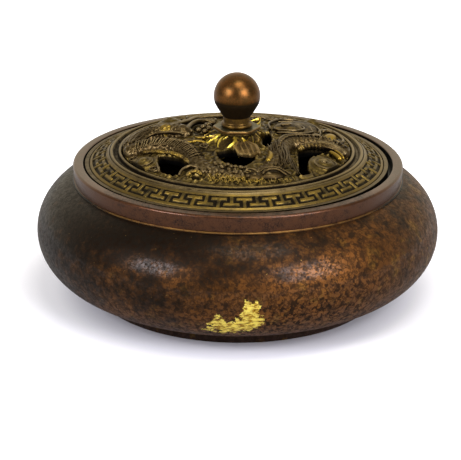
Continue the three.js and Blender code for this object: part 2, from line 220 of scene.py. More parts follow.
# The bowl
# A squat cast body, two quarter ellipses in profile, turned clean and patinated a mottled brown.
# The front carries a ragged splash of worn fire gilding.
def new_piece(name, shape, material, body, replaced=(), crease=40):
    """Its shape is its points and faces and, where the finish follows it, its relief and gilt."""
    points, faces, *layers = shape
    mesh = bpy.data.meshes.new(name)
    mesh.from_pydata(points, [], faces)
    for layer_name, values in zip(("relief", "gilt"), layers):
        layer = mesh.attributes.new(layer_name, "FLOAT", "POINT")
        layer.data.foreach_set("value", np.asarray(values, dtype=np.float32).ravel())
    work = bmesh.new()
    work.from_mesh(mesh)
    bmesh.ops.remove_doubles(work, verts=work.verts, dist=0.002 * mm)
    bmesh.ops.recalc_face_normals(work, faces=work.faces)
    work.to_mesh(mesh)
    work.free()
    mesh.shade_smooth()
    mesh.set_sharp_from_angle(angle=math.radians(crease))
    mesh.materials.append(material)
    piece = bpy.data.objects.new(name, mesh)
    bpy.context.collection.objects.link(piece)
    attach(piece, body)
    if replaced:
        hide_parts(*replaced)


def grid_faces(rows, columns, wrap_rows=False):
    """The quads of a grid of points counted row by row. Each row closes on itself, and so do the
    columns where rows wrap."""
    down = np.arange(rows if wrap_rows else rows - 1)
    row, column = np.meshgrid(down, np.arange(columns), indexing="ij")
    next_row, next_column = (row + 1) % rows, (column + 1) % columns
    corners = [row * columns + column, row * columns + next_column,
               next_row * columns + next_column, next_row * columns + column]
    return np.stack(corners, axis=-1).reshape(-1, 4).tolist()


def round_axis(radius, angle, height, centre=0.0):
    """A grid of points round the axis: x = centre + r cos a, y = r sin a, z = height."""
    x, y, z = np.broadcast_arrays(centre + radius * np.cos(angle), radius * np.sin(angle), height)
    return np.stack([x, y, z], axis=-1)


def revolve(profile, steps, centre=0.0):
    """Carries a profile of (radius, height) round the axis. It closes on itself where it doesn't start on
    the axis."""
    radius, height = np.array(profile).T[:, :, None]
    angle = np.linspace(0, 2 * np.pi, steps, endpoint=False)
    points = round_axis(radius, angle, height, centre)
    return points.reshape(-1, 3), grid_faces(len(radius), steps, radius[0, 0] > 0)


def bow(centre_radius, centre_height, spread, rise, first, last, steps):
    """Points of an ellipse, (centre + spread cos a, centre + rise sin a), a from first to last degrees."""
    angle = np.radians(np.linspace(first, last, steps))
    return [(centre_radius + spread * math.cos(a), centre_height + rise * math.sin(a)) for a in angle]


def mottled_bronze(name, dark, brown, warm, flecks, gloss, coat=0.45, splash=False):
    """Waxed patina in cloudy patches: dark and brown, warm and ochre to the right and below, less of
    both at the far right and on the shoulder left of the middle. Part of this is painted light: the left
    is painted darker and the right lighter as the lamps fall, and the far right and that part of the
    shoulder have painted shade. Wormy dark flecks, a few bright specks and fine level turning marks lie
    over it."""
    material, shader, place = new_material(name)
    across, height = place.along("X"), place.along("Z")
    cloud = place.noise(16 * mm, detail=4.0)
    patch = place.noise(3.4 * mm, detail=5.0, roughness=0.65)
    fine = place.noise(0.8 * mm, detail=4.0, roughness=0.7)
    turned = place.squeezed(0.12).noise(0.35 * mm, detail=2.0, offset=15.0)
    # side is real patina and painted light together: warmer to the right and below, and painted darker on
    # the left and lighter on the right as the lamps fall
    side = (across * 9.0 - height * 26.0 + cloud * 1.2 + 0.46).step(0.0, 1.0)
    # edge: painted shade, the far right made darker and duller
    edge = across.step(24 * mm, 54 * mm)
    # shade: painted shade on the shoulder left of the middle, just below the collar
    shade = height.step(27 * mm, 33 * mm) * across.step(28 * mm, 4 * mm)
    browned = (patch * 0.7 + side * 0.45 + 0.05 - edge * 0.2 - shade * 0.06).step(0.36, 0.72)
    warmed = side * (patch.step(0.32, 0.62) * 0.8 + 0.2) * (1 - edge * 0.8) * (1 - shade * 0.3)
    ochre = place.noise(4.5 * mm, detail=4.0, offset=13.0).step(0.55, 0.68) * side * 0.6
    color = ochre.mix(warmed.mix(browned.mix(dark, brown), warm), rgb(140, 102, 40))
    worm = place.math("ABSOLUTE", place.noise(1.8 * mm, offset=7.0) - 0.5).step(0.07, 0.02)
    blot = place.noise(1.45 * mm, detail=4.0, offset=9.0).step(0.5, 0.59)
    dots = place.math("MAXIMUM", blot, worm * 0.7) * (side * 0.35 + 0.6) * flecks * (1 - edge * 0.35)
    speck = place.noise(0.7 * mm, detail=1.0, offset=11.0).step(0.76, 0.84) * 0.8
    color = speck.mix(dots.mix(color, rgb(24, 22, 17)), rgb(160, 128, 66))
    rough = gloss + 0.1 * side + 0.12 * patch + 0.14 * fine + 0.2 * dots
    if splash:
        ragged = place.noise(3.2 * mm, detail=4.0, roughness=0.65, offset=3.0)
        crack = place.squeezed(0.4).noise(0.8 * mm, detail=4.0, roughness=0.75, offset=5.0)
        lobes = []
        for middle_x, middle_z, half_wide, half_tall in [(-2.2, 12.0, 6.8, 3.0), (3.8, 15.8, 3.0, 5.2)]:
            away_x = (across - middle_x * mm) * (1 / (half_wide * mm))
            away_z = (height - middle_z * mm) * (1 / (half_tall * mm))
            lobes.append((away_x * away_x + away_z * away_z) ** 0.5)
        away = place.math("MINIMUM", *lobes)
        in_front = place.along("Y").step(-10 * mm, -30 * mm)
        gilt = (away + (ragged - 0.5) * 3.2).step(1.0, 0.92) * (crack + (1 - away) * 0.12).step(0.41, 0.46)
        gilt = gilt * in_front
        color = gilt.mix(color, crack.step(0.4, 0.58).mix(rgb(182, 138, 34), rgb(255, 240, 122)))
        rough = rough + gilt * 0.1
    waxed = (side * 0.3 + 0.7) * (1 - height.step(26 * mm, 33 * mm) * 0.6)
    place.feed(shader, {
        "Base Color": color, "Roughness": rough, "Metallic": 0.92,
        "Normal": (fine * 0.6 + patch * 0.4 + turned * 0.35).bump(0.09 * mm, 0.65),
        "Coat Weight": (1 - dots) * fine.step(0.35, 0.6) * waxed * coat, "Coat Roughness": 0.2})
    return material


bowl_low, bowl_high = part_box("bowl_shell")
belly_radius = bowl_high[0]
belly_height = 20.6 * mm
lower_spread, lower_depth = 20.8 * mm, 17.5 * mm
upper_spread, upper_rise = 20.4 * mm, 17.6 * mm
bowl_wall = 3.2 * mm
mouth_inset = 7.0 * mm
bowl_steps = 192
lower_centre = belly_radius - lower_spread
upper_centre = belly_radius - upper_spread
foot_angle = -math.degrees(math.asin((belly_height - bowl_low[2]) / lower_depth))
top_angle = math.degrees(math.asin((bowl_high[2] - belly_height) / upper_rise))
mouth_radius = upper_centre + upper_spread * math.cos(math.radians(top_angle)) - mouth_inset
inner_upper, inner_rise = upper_spread - bowl_wall, upper_rise - bowl_wall
inner_lower, inner_depth = lower_spread - bowl_wall, lower_depth - bowl_wall
mouth_angle = math.degrees(math.acos((mouth_radius - upper_centre) / inner_upper))
bowl_profile = [
    (0, bowl_low[2]),
    *bow(lower_centre, belly_height, lower_spread, lower_depth, foot_angle, 0, 24),
    *bow(upper_centre, belly_height, upper_spread, upper_rise, 0, top_angle, 24)[1:],
    (mouth_radius, bowl_high[2]),
    *bow(upper_centre, belly_height, inner_upper, inner_rise, mouth_angle, 0, 16),
    *bow(lower_centre, belly_height, inner_lower, inner_depth, 0, -90, 16)[1:],
    (0, belly_height - inner_depth),
]
belly_bronze = mottled_bronze(
    "belly_bronze", rgb(31, 19, 9), rgb(88, 56, 26), rgb(132, 83, 33), flecks=0.95, gloss=0.3, splash=True)
new_piece(
    "belly", revolve(bowl_profile, bowl_steps), belly_bronze, "bowl", ["bowl_shell"])

# The foot ring
# A low ring under the belly, cast with it and turned with a slight batter. It carries the burner, and
# its patina is left dark.
foot_low, foot_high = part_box("foot_ring")
foot_width = 3.6 * mm
foot_batter = 0.3 * mm
foot_ease = 0.4 * mm
foot_profile = [
    (foot_high[0] - foot_width, foot_low[2]),
    (foot_high[0] - foot_batter - foot_ease, foot_low[2]),
    (foot_high[0] - foot_batter, foot_low[2] + foot_ease),
    (foot_high[0], foot_high[2]),
    (foot_high[0] - foot_width, foot_high[2]),
]
foot_bronze = mottled_bronze(
    "foot_bronze", rgb(58, 46, 38), rgb(76, 57, 46), rgb(84, 61, 48), flecks=0.4, gloss=0.36)
new_piece(
    "foot", revolve(foot_profile, bowl_steps), foot_bronze, "bowl", ["foot_ring"])

# The collar
# A turned ring brazed on the shoulder along a bead, with a flat lip and a ledge inside for the lid. Its
# colours
# carry painted light: a painted highlight makes the bead a gold line in front, the lip is painted pale at
# the sides and back and dark in front, the wall has a painted sheen at the left and right, and the bore
# inside is painted black shade.
(_, _, collar_foot), (seam_radius, _, collar_top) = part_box("rim_collar")
seam, seam_ease, seam_cove = 0.45 * mm, 0.15 * mm, 0.1 * mm
wall_ease = 0.05 * mm
lip_overhang = 0.3 * mm
lip_width, lip_flat = 3.2 * mm, 0.2 * mm
lip_ease, lip_round = 0.35 * mm, 0.8 * mm
ledge_height = 2.2 * mm
ledge_reach = 3.9 * mm
collar_steps = 192
collar_radius = seam_radius - seam
lip_radius = collar_radius + lip_overhang
bore_radius = lip_radius - lip_width
collar_profile = [
    (bore_radius - ledge_reach, collar_foot),
    (seam_radius, collar_foot),
    (seam_radius, collar_foot + 0.6 * seam),
    (seam_radius - seam_ease, collar_foot + seam),
    (collar_radius - wall_ease, collar_foot + seam + seam_cove),
    (collar_radius - wall_ease, collar_foot + seam + 4 * seam_cove),
    (lip_radius, collar_top - lip_round),
    *bow(lip_radius - lip_round, collar_top - lip_round, lip_round, lip_round, 12, 90, 8),
    *bow(bore_radius + lip_ease, collar_top - lip_ease, lip_ease, lip_ease, 90, 165, 5),
    (bore_radius, collar_top - lip_ease),
    (bore_radius, collar_foot + ledge_height),
    (bore_radius - ledge_reach, collar_foot + ledge_height),
]


def relief_bronze(name, ground, olive, pale, gold, gloss=0.3, coat=0.0):
    """Bronze that follows the piece's relief, the ground's colour at 0, then olive, and pale at 1. It is
    black well below 0 and turns gold where the gilt is 1. Besides patina and wear, relief and gilt carry
    painted light on some pieces: the black is painted shade in gaps, the bore and undersides, and some
    pale and gilt marks are painted highlights."""
    material, shader, place = new_material(name)
    relief = place.make("ShaderNodeAttribute", {"attribute_name": "relief"}, {}, "Fac")
    gilt = place.make("ShaderNodeAttribute", {"attribute_name": "gilt"}, {}, "Fac")
    patch = place.noise(2.6 * mm, detail=5.0, roughness=0.65)
    fine = place.noise(0.45 * mm, detail=4.0, roughness=0.7)
    level = relief + (fine - 0.5) * 0.75 + (patch - 0.5) * 0.75
    gilded = (gilt + (patch - 0.5) * 0.8).step(0.3, 0.75) * (0.3 + level).step(0.2, 0.7)
    color = (level.step(0.5, 1.05) * 0.9).mix(level.step(0.05, 0.45).mix(ground, olive), pale)
    color = level.step(-1.3, -0.4).mix(rgb(6, 5, 4), gilded.mix(color, gold))
    place.feed(shader, {
        "Base Color": color, "Roughness": level.step(0.5, 0.0) * 0.3 + gloss + 0.25 * fine,
        "Metallic": 0.95, "Normal": fine.bump(0.05 * mm, 0.4),
        "Coat Weight": coat, "Coat Roughness": 0.25})
    return material


black = -1.5
collar_r, collar_z = np.array(collar_profile).T[:, :, None]
collar_angle = np.linspace(0, 2 * np.pi, collar_steps, endpoint=False)
# painted light on the lip: pale at the sides and back, and painted shade darkens its front
lip_painted_light = 0.78 - 0.48 * np.clip((-np.sin(collar_angle) - 0.4) / 0.25, 0, 1)
# the wall's tone, with a painted sheen at the left and right
wall_tone_and_sheen = 0.34 + 0.4 * np.abs(np.cos(collar_angle)) ** 4
# painted highlight: the seam bead is a gold line only in front and dark elsewhere
seam_front_highlight = 0.6 * np.clip((-np.sin(collar_angle) - 0.3) / 0.4, 0, 1)
on_seam = collar_z < collar_foot + seam + 0.5 * seam_cove
collar_relief = np.where(collar_z > collar_top - lip_flat, lip_painted_light, wall_tone_and_sheen)
collar_relief = np.where(on_seam, seam_front_highlight - 0.26, collar_relief)
# painted shade: the bore and ledge inside the collar are black
collar_relief = np.where(collar_r < bore_radius + wall_ease, black, collar_relief)
collar_gilt = np.where(on_seam, seam_front_highlight, 0.0)
collar_bronze = relief_bronze(
    "collar_bronze", rgb(14, 11, 8), rgb(86, 52, 28), rgb(66, 54, 34), rgb(126, 92, 42),
    gloss=0.22, coat=0.35)
new_piece(
    "collar", (*revolve(collar_profile, collar_steps), collar_relief, collar_gilt), collar_bronze,
    "bowl", ["rim_collar"], crease=28)

# The lid's border
# One casting, turned outside and chased on top: a plain rim, a groove, a sloping band between two raised
# lines, then a bead, a cove and a crest round the window. It is dull grey-olive, dark in the grooves,
# paler on the right and gilt on the lines. A painted highlight gilds the crest in front, and the outer
# wall is painted black shade where it faces the collar's bore.
border_low, border_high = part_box("lid_border")
lid_centre = (border_low[0] + border_high[0]) / 2
lid_radius = border_high[0] - lid_centre
rim_top = collar_top - 0.16 * mm
rim_width, groove_width, groove_depth = 1.35 * mm, 0.2 * mm, 0.3 * mm
line_lift, outer_line_width, inner_line_width = 0.1 * mm, 0.85 * mm, 1.2 * mm
fret_depth, band_width, band_rise = 0.4 * mm, 4.1 * mm, 3.0 * mm
bead_width, bead_rise = 1.3 * mm, 0.5 * mm
crest_gap, crest_width, crest_height = 1.3 * mm, 1.2 * mm, 0.8 * mm
cove_depth = 0.6 * mm
skirt_depth, skirt_width, lid_clearance = 2.4 * mm, 2.0 * mm, 0.9 * mm
seat_width, border_thickness = 2.3 * mm, 1.1 * mm
ledge_top = collar_foot + ledge_height
skirt_radius = bore_radius - ledge_reach - lid_clearance
outer_line = lid_radius - rim_width - groove_width
field_outer = outer_line - outer_line_width
field_inner = field_outer - band_width
inner_line = field_inner - inner_line_width
bead_middle = inner_line - bead_width / 2
crest_outer = inner_line - bead_width - crest_gap
crest_middle = crest_outer - crest_width / 2
window_radius = crest_outer - crest_width
band_foot = rim_top + line_lift
band_top = band_foot + band_rise
seat_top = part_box("dragon_medallion")[0][2]
edge = 0.1 * mm
border_steps = 256


def band_at(radius):
    """Height of the sloping band at this radius."""
    return band_foot + band_rise * (outer_line - radius) / (outer_line - inner_line)


border_profile = [
    (skirt_radius - skirt_width, ledge_top - skirt_depth),
    (skirt_radius, ledge_top - skirt_depth),
    (skirt_radius, ledge_top),
    (lid_radius - 2 * edge, ledge_top),
    (lid_radius, ledge_top + 2 * edge),
    (lid_radius, rim_top - 1.2 * edge),
    (lid_radius - 0.2 * edge, rim_top - edge),
    (lid_radius - edge, rim_top),
    (outer_line + groove_width + edge, rim_top),
    (outer_line + groove_width, rim_top - groove_depth),
    (outer_line, rim_top - groove_depth),
    (outer_line, band_foot - edge),
    (outer_line - 0.5 * edge, band_foot),
    (field_outer + 2 * edge, band_at(field_outer)),
    (field_outer + 0.5 * edge, band_at(field_outer) - edge),
    (field_outer, band_at(field_outer) - fret_depth - edge),
    (field_inner, band_at(field_inner) - fret_depth - edge),
    (field_inner - 0.5 * edge, band_at(field_inner) - edge),
    (field_inner - 4 * edge, band_at(field_inner) + edge),
    (inner_line + 2 * edge, band_at(inner_line) + edge),
    (inner_line + edge, band_top - 2.5 * edge),
    *bow(bead_middle + edge, band_top, bead_width / 2 - edge, bead_rise, -12, 180, 12),
    *bow(crest_outer + crest_gap / 2, band_top - edge, crest_gap / 2, -cove_depth, 0, 180, 10),
    *bow(crest_middle, band_top, crest_width / 2, crest_height, 0, 150, 12),
    (window_radius, seat_top),
    (window_radius - seat_width, seat_top),
    (window_radius - seat_width, seat_top - border_thickness),
    (skirt_radius - skirt_width, ledge_top + border_thickness),
]
border_r, border_z = np.array(border_profile).T[:, :, None]
border_angle = np.linspace(0, 2 * np.pi, border_steps, endpoint=False)
base = np.interp(border_r, [inner_line, outer_line], [band_top, band_foot])
above = np.clip(border_z - band_top, 0, 1)
border_relief = np.clip(0.52 + 0.7 * (border_z - base) / bead_rise, -0.4, 0.75)
border_relief = np.where(border_r < inner_line, 0.2 + 0.7 * (above / bead_rise) ** 2, border_relief)
border_relief = np.where(
    border_r < crest_outer + edge, -0.2 + 1.1 * (above / crest_height) ** 2, border_relief)
# painted shade: the outer wall, facing the collar's bore, is black
border_relief = np.where(border_r > lid_radius - 0.5 * edge, black, border_relief)
on_line = (np.abs(border_r - field_inner) < inner_line_width / 2) | (
    np.abs(border_r - (field_outer + outer_line_width / 2)) < outer_line_width / 2)
on_crest = (border_r < crest_outer) & (border_relief > 0.4)
# painted highlight: the crest is gilt towards the front only
crest_front_highlight = 0.5 * np.clip(-np.sin(border_angle), 0, 1) ** 2
border_gilt = np.where(on_line & (border_relief > 0.1), 0.55, 0.0) + on_crest * crest_front_highlight
# the border is coloured paler towards the right
paler_right = 0.8 * np.clip(np.cos(border_angle), 0, 1) ** 4
border_tone = border_relief * (1 + paler_right * (border_relief > 0))
border_bronze = relief_bronze(
    "border_bronze", rgb(26, 20, 12), rgb(90, 76, 47), rgb(134, 117, 80), rgb(118, 97, 42))
new_piece(
    "border", (*revolve(border_profile, border_steps, lid_centre), border_tone, border_gilt),
    border_bronze, "lid", ["lid_border"], crease=30)

# The key fret
# Seventy-two raised Ts, stems out and stems in by turns, chased in the sloping band of the border. They
# are worn unevenly along the band and duller at the two sides.
fret_count = 36
fret_step = 2 * math.pi / fret_count
fret_turn = math.radians(3.03)
bar_line, stem_line = 0.88 * mm, 1.05 * mm
bar_half = 2.3 * mm
inset_outer, inset_inner = 0.8 * mm, 0.5 * mm
key_soft, key_lift, key_wander = 0.04 * mm, 0.04 * mm, 0.06 * mm
fret_thickness = 0.3 * mm


def ramp_in(distance):
    """1 well inside, where the distance is below 0, and 0 well outside."""
    return 1 / (1 + np.exp(np.clip(distance / key_soft, -30, 30)))


def key_height(turns, along, inset):
    """0 to 1: Ts whose stems lie at whole turns, and whose bars keep this inset from the far side."""
    across = (np.mod(turns + 0.5, 1.0) - 0.5) * fret_step * (field_outer + field_inner) / 2
    stem = ramp_in(np.maximum(np.abs(across) - stem_line / 2, along - (band_width - inset)))
    bar_middle = band_width - inset - bar_line / 2
    bar = ramp_in(np.maximum(np.abs(across) - bar_half, np.abs(along - bar_middle) - bar_line / 2))
    return np.maximum(stem, bar)


fret_angles = np.linspace(0, 2 * np.pi, fret_count * 40, endpoint=False)
angle, row = np.meshgrid(fret_angles, np.linspace(0, 1, 38))
turns = (angle - fret_turn) / fret_step
keys = np.maximum(
    key_height(turns, row * band_width, inset_inner),
    key_height(turns - 0.5, (1 - row) * band_width, inset_outer))
worn = 0.6 * np.sin(7 * angle + 3 * row) * np.cos(31 * angle)
worn = worn + 0.6 * np.sin(19 * angle + 5 * row) * np.cos(53 * angle - 4 * row)
fret_radius = field_outer - row * band_width
fret_height = band_at(fret_radius) - fret_depth + (fret_depth + key_lift) * keys + key_wander * worn
fret_points = round_axis(fret_radius, angle, fret_height, lid_centre)
under_points = fret_points[[-1, 0]] - [0, 0, fret_thickness]
dull_side = 0.22 * np.abs(np.cos(angle)) ** 3
fret_relief = np.concatenate([
    keys * (0.85 + 0.45 * worn - dull_side) + dull_side * 0.7, np.zeros((2, len(fret_angles)))])
fret_bronze = relief_bronze(
    "fret_bronze", rgb(28, 23, 14), rgb(72, 61, 33), rgb(104, 91, 53), rgb(118, 97, 42))
new_piece(
    "key_fret", (
        np.concatenate([fret_points, under_points]).reshape(-1, 3), grid_faces(*fret_relief.shape, True),
        0.8 * fret_relief, 0.75 * fret_relief),
    fret_bronze, "lid", crease=60)

# The openwork plate
# A shallow domed plate let into the border's window, pierced between the figures and cast with cloud
# bosses and curling ground. The knob's screw goes through its middle. Its holes and all that is drawn
# on it are given in millimetres from the middle, to the right and to the back.
plate_low, plate_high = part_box("dragon_medallion")
plate_radius = (plate_high[0] - plate_low[0]) / 2
drawn_radius = 35 * mm
plate_thickness = 2.2 * mm
dome_edge = seat_top + plate_thickness
dome_rise = 3.6 * mm
hub_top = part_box("petal_seat")[0][2]
hub_radius = 8.0 * mm
screw_hole = 1.9 * mm
hub_blend, plate_sink, seat_step = 0.4 * mm, 0.2 * mm, 0.4 * mm
cell, hole_reach = 0.32 * mm, 3 * mm
seed_count, seed_turn, curl_pitch, curl_relief = 170, 2.4, 1.7 * mm, 0.5 * mm
boss_rise, swirl_pitch, swirl_relief = 1.7 * mm, 1.9 * mm, 0.35 * mm
pip_radius, pip_rise = 1.3 * mm, 0.8 * mm
hole_lip, lip_middle, lip_spread = 0.45 * mm, 0.5 * mm, 0.35 * mm
holes = [
    [(-23.2, -13.0), (-18.4, -15.2), (-15.6, -18.2), (-13.8, -21.8), (-15.8, -24.2), (-17.0, -27.6),
     (-19.8, -26.8), (-22.2, -24.4), (-23.2, -18.6)],
    [(-13.8, -29.8), (-12.6, -28.6), (-11.2, -29.2), (-10.8, -30.8), (-12.4, -31.0)],
    [(-6.0, -13.6), (-2.4, -11.2), (2.0, -12.0), (5.4, -15.6), (4.6, -20.4), (2.2, -23.2), (-1.4, -22.4),
     (-4.6, -19.2)],
    [(7.9, 0.6), (8.8, 4.0), (10.0, 4.4), (10.8, 0.4), (10.4, -5.0), (9.4, -8.2), (7.9, -7.0),
     (7.8, -3.4)],
    [(18.4, -11.4), (20.2, -8.0), (23.6, -6.2), (28.6, -5.6), (28.4, -8.4), (24.6, -10.8), (21.8, -16.6),
     (21.0, -21.0), (21.4, -25.2), (19.0, -26.8), (17.0, -27.6), (18.3, -23.6), (18.4, -17.0)],
    [(-13.4, 8.6), (-11.4, 8.4), (-10.8, 11.0), (-11.4, 14.2), (-13.0, 13.4)],
    [(-4.8, 13.4), (0.4, 12.2), (5.6, 13.8), (6.2, 18.6), (1.0, 21.6), (-4.4, 19.6)],
    [(27.8, 7.6), (30.6, 8.0), (30.2, 11.2), (27.6, 10.6)],
]
cloud_bosses = [
    (26.0, -18.4, 5.4), (-27.8, -17.8, 4.8), (-21.6, 22.6, 4.4), (0.0, 31.0, 3.4), (24.6, 24.4, 3.6),
]


def drawn(points):
    """Points drawn in millimetres on a plate of the drawn radius, brought to the real plate."""
    scaled = np.array(points, dtype=float)
    scaled[:, :2] *= plate_radius / drawn_radius
    return scaled * mm


def smooth_path(points, steps, closed=False):
    """A Catmull-Rom curve through the points, with so many steps on each stretch between two of them."""
    points = np.asarray(points, dtype=float)
    if closed:
        ends = np.concatenate([points[-1:], points, points[:2]])
    else:
        ends = np.concatenate([2 * points[:1] - points[1:2], points, 2 * points[-1:] - points[-2:-1]])
    a, b, c, d = ends[:-3, None], ends[1:-2, None], ends[2:-1, None], ends[3:, None]
    t = (np.arange(steps) / steps)[None, :, None]
    curve = 0.5 * (
        2 * b + (c - a) * t + (2 * a - 5 * b + 4 * c - d) * t ** 2 + (3 * b - a - 3 * c + d) * t ** 3)
    curve = curve.reshape(-1, points.shape[1])
    return curve if closed else np.concatenate([curve, points[-1:]])


def outline_depth(outline, x, y):
    """How far each (x, y) lies outside a closed outline, below 0 inside, and its nearest point there."""
    side = np.roll(outline, -1, axis=0) - outline
    place = np.stack([x, y], axis=-1)[:, None, :]
    along = np.clip(((place - outline) * side).sum(-1) / (side * side).sum(-1), 0, 1)
    near = outline + along[..., None] * side
    gap = np.linalg.norm(place - near, axis=-1)
    best = gap.argmin(axis=1)
    rows = np.arange(len(x))
    straddles = (outline[:, 1] > y[:, None]) != ((outline + side)[:, 1] > y[:, None])
    slope = side[:, 0] / np.where(side[:, 1] == 0, 1e-12, side[:, 1])
    crossed = straddles & (x[:, None] < outline[:, 0] + (y[:, None] - outline[:, 1]) * slope)
    inside = crossed.sum(axis=1) % 2 == 1
    return np.where(inside, -1, 1) * gap[rows, best], near[rows, best]


def dome(radius):
    """Height of the bare dome: edge + rise (1 - (r / R)^2)."""
    return dome_edge + dome_rise * (1 - (radius / plate_radius) ** 2)


# a net of small triangles, cut at the rim, the screw's hole and the pierced holes: depth is how far a
# corner lies inside the metal, and a corner near an edge moves onto it
half_cells = math.ceil(plate_radius / cell) + 1
ticks = np.arange(-half_cells, half_cells + 1) * cell
plate_x, plate_y = (axis.ravel() for axis in np.meshgrid(ticks, ticks, indexing="ij"))
plate_r = np.hypot(plate_x, plate_y)
hub_side = plate_r - screw_hole < plate_radius - plate_r
depth = np.where(hub_side, plate_r - screw_hole, plate_radius - plate_r)
outward = np.stack([plate_x, plate_y], axis=-1) / np.maximum(plate_r, cell)[:, None]
nearest = np.where(hub_side, screw_hole, plate_radius)[:, None] * outward
hole_depth = np.full(len(plate_x), 2 * hole_reach)
for points in holes:
    outline = smooth_path(drawn(points), 10, closed=True)
    low, high = outline.min(axis=0) - hole_reach, outline.max(axis=0) + hole_reach
    close = np.flatnonzero(
        (plate_x > low[0]) & (plate_x < high[0]) & (plate_y > low[1]) & (plate_y < high[1]))
    gap, point = outline_depth(outline, plate_x[close], plate_y[close])
    at_hole = gap < depth[close]
    nearest[close[at_hole]] = point[at_hole]
    depth[close] = np.minimum(depth[close], gap)
    hole_depth[close] = np.minimum(hole_depth[close], gap)

on_edge = np.abs(depth) <= 0.5 * cell
plate_x = np.where(on_edge, nearest[:, 0], plate_x)
plate_y = np.where(on_edge, nearest[:, 1], plate_y)
kept = on_edge | (depth > 0)
corner = np.arange(len(ticks) ** 2).reshape(len(ticks), -1)
a, b = corner[:-1, :-1].ravel(), corner[1:, :-1].ravel()
c, d = corner[1:, 1:].ravel(), corner[:-1, 1:].ravel()
turned_cell = (~kept[a] | ~kept[c])[:, None]
plate_faces = np.concatenate([
    np.where(turned_cell, np.stack([a, b, d], -1), np.stack([a, b, c], -1)),
    np.where(turned_cell, np.stack([b, c, d], -1), np.stack([a, c, d], -1))])
plate_faces = plate_faces[kept[plate_faces].all(axis=1) & (depth[plate_faces].sum(axis=1) > 0)]
used, plate_faces = np.unique(plate_faces, return_inverse=True)
plate_faces = plate_faces.reshape(-1, 3)
plate_x, plate_y, hole_depth = plate_x[used], plate_y[used], hole_depth[used]
plate_r = np.hypot(plate_x, plate_y)

# the ground: curls wound round evenly spread seeds, with a groove between neighbours
seed = np.arange(seed_count)
seed_x = plate_radius * np.sqrt((seed + 0.5) / seed_count) * np.cos(seed_turn * seed)
seed_y = plate_radius * np.sqrt((seed + 0.5) / seed_count) * np.sin(seed_turn * seed)
seed_gap = np.hypot(plate_x[:, None] - seed_x, plate_y[:, None] - seed_y)
closest = seed_gap.argmin(axis=1)
seed_near, seed_next = np.partition(seed_gap, 1, axis=1)[:, :2].T
seed_angle = np.arctan2(plate_y - seed_y[closest], plate_x - seed_x[closest])
hand = np.where(closest % 3 == 0, -1, 1)
curl = 0.5 + 0.5 * np.cos(hand * seed_angle - 2 * np.pi * seed_near / curl_pitch + closest)
relief = (0.25 + 0.75 * curl) * np.clip((seed_next - seed_near) / mm, 0, 1) * curl_relief
plate_tone = 0.05 + relief / (0.7 * mm)

# the cloud bosses, each a swirl round a pip, and the raised lip of every hole
for boss in cloud_bosses:
    x, y, radius = drawn([boss])[0]
    away = np.hypot(plate_x - x, plate_y - y)
    swirl = 0.5 + 0.5 * np.cos(np.arctan2(plate_y - y, plate_x - x) - 2 * np.pi * away / swirl_pitch + 1.0)
    pip = np.sqrt(np.maximum(1 - (away / pip_radius) ** 2, 0))
    rise = boss_rise * np.clip(1.6 * (1 - away / radius), 0, 1) ** 0.6
    rise = rise + swirl_relief * swirl * (away > pip_radius + 0.1 * mm) + pip_rise * pip
    relief = np.where(away < radius, rise, relief)
    plate_tone = np.where(away < radius, 0.25 + 0.4 * swirl + 0.4 * pip, plate_tone)
lip = hole_lip * np.exp(-((hole_depth - lip_middle) / lip_spread) ** 2)
relief = relief + lip
plate_tone = np.clip(plate_tone + 0.6 * lip / mm, 0, 0.9)

# the flat hub under the petals, the underside with its thinner seat, and the walls of all edges; the
# underside is painted black shade and the walls fade into it
free = np.clip((plate_r - hub_radius + hub_blend) / (2 * hub_blend), 0, 1)
top_z = (1 - free) * hub_top + free * (dome(plate_r) + relief - plate_sink)
seat_share = np.clip((plate_r - window_radius + 2 * seat_width) / seat_width, 0, 1)
under_z = dome(np.maximum(plate_r, hub_radius)) - plate_thickness - seat_step * seat_share
sides = np.concatenate([plate_faces[:, [0, 1]], plate_faces[:, [1, 2]], plate_faces[:, [2, 0]]])
_, where, times = np.unique(np.sort(sides, axis=1), axis=0, return_index=True, return_counts=True)
rim = sides[where[times == 1]]
count = len(plate_x)
walls = np.stack([rim[:, 0], rim[:, 1], rim[:, 1] + count, rim[:, 0] + count], axis=-1)
plate_points = np.concatenate([
    np.stack([lid_centre + plate_x, plate_y, top_z], axis=-1),
    np.stack([lid_centre + plate_x, plate_y, np.maximum(under_z, seat_top)], axis=-1)])
# painted shade: the underside is black, and the walls of the rim and holes darken from the top down into
# it
plate_relief = np.concatenate([plate_tone, np.full(count, -2.5)])
plate_bronze = relief_bronze(
    "plate_bronze", rgb(34, 27, 13), rgb(86, 71, 34), rgb(140, 122, 72), rgb(158, 130, 48), gloss=0.26)
dragon_bronze = relief_bronze(
    "dragon_bronze", rgb(32, 24, 14), rgb(78, 63, 36), rgb(130, 114, 80), rgb(158, 130, 50), gloss=0.26)
plate_skin = plate_faces.tolist() + (plate_faces[:, ::-1] + count).tolist() + walls.tolist()
new_piece(
    "openwork_plate", (plate_points, plate_skin, plate_relief, 0.45 * plate_relief), plate_bronze,
    "lid", ["dragon_medallion"], crease=50)

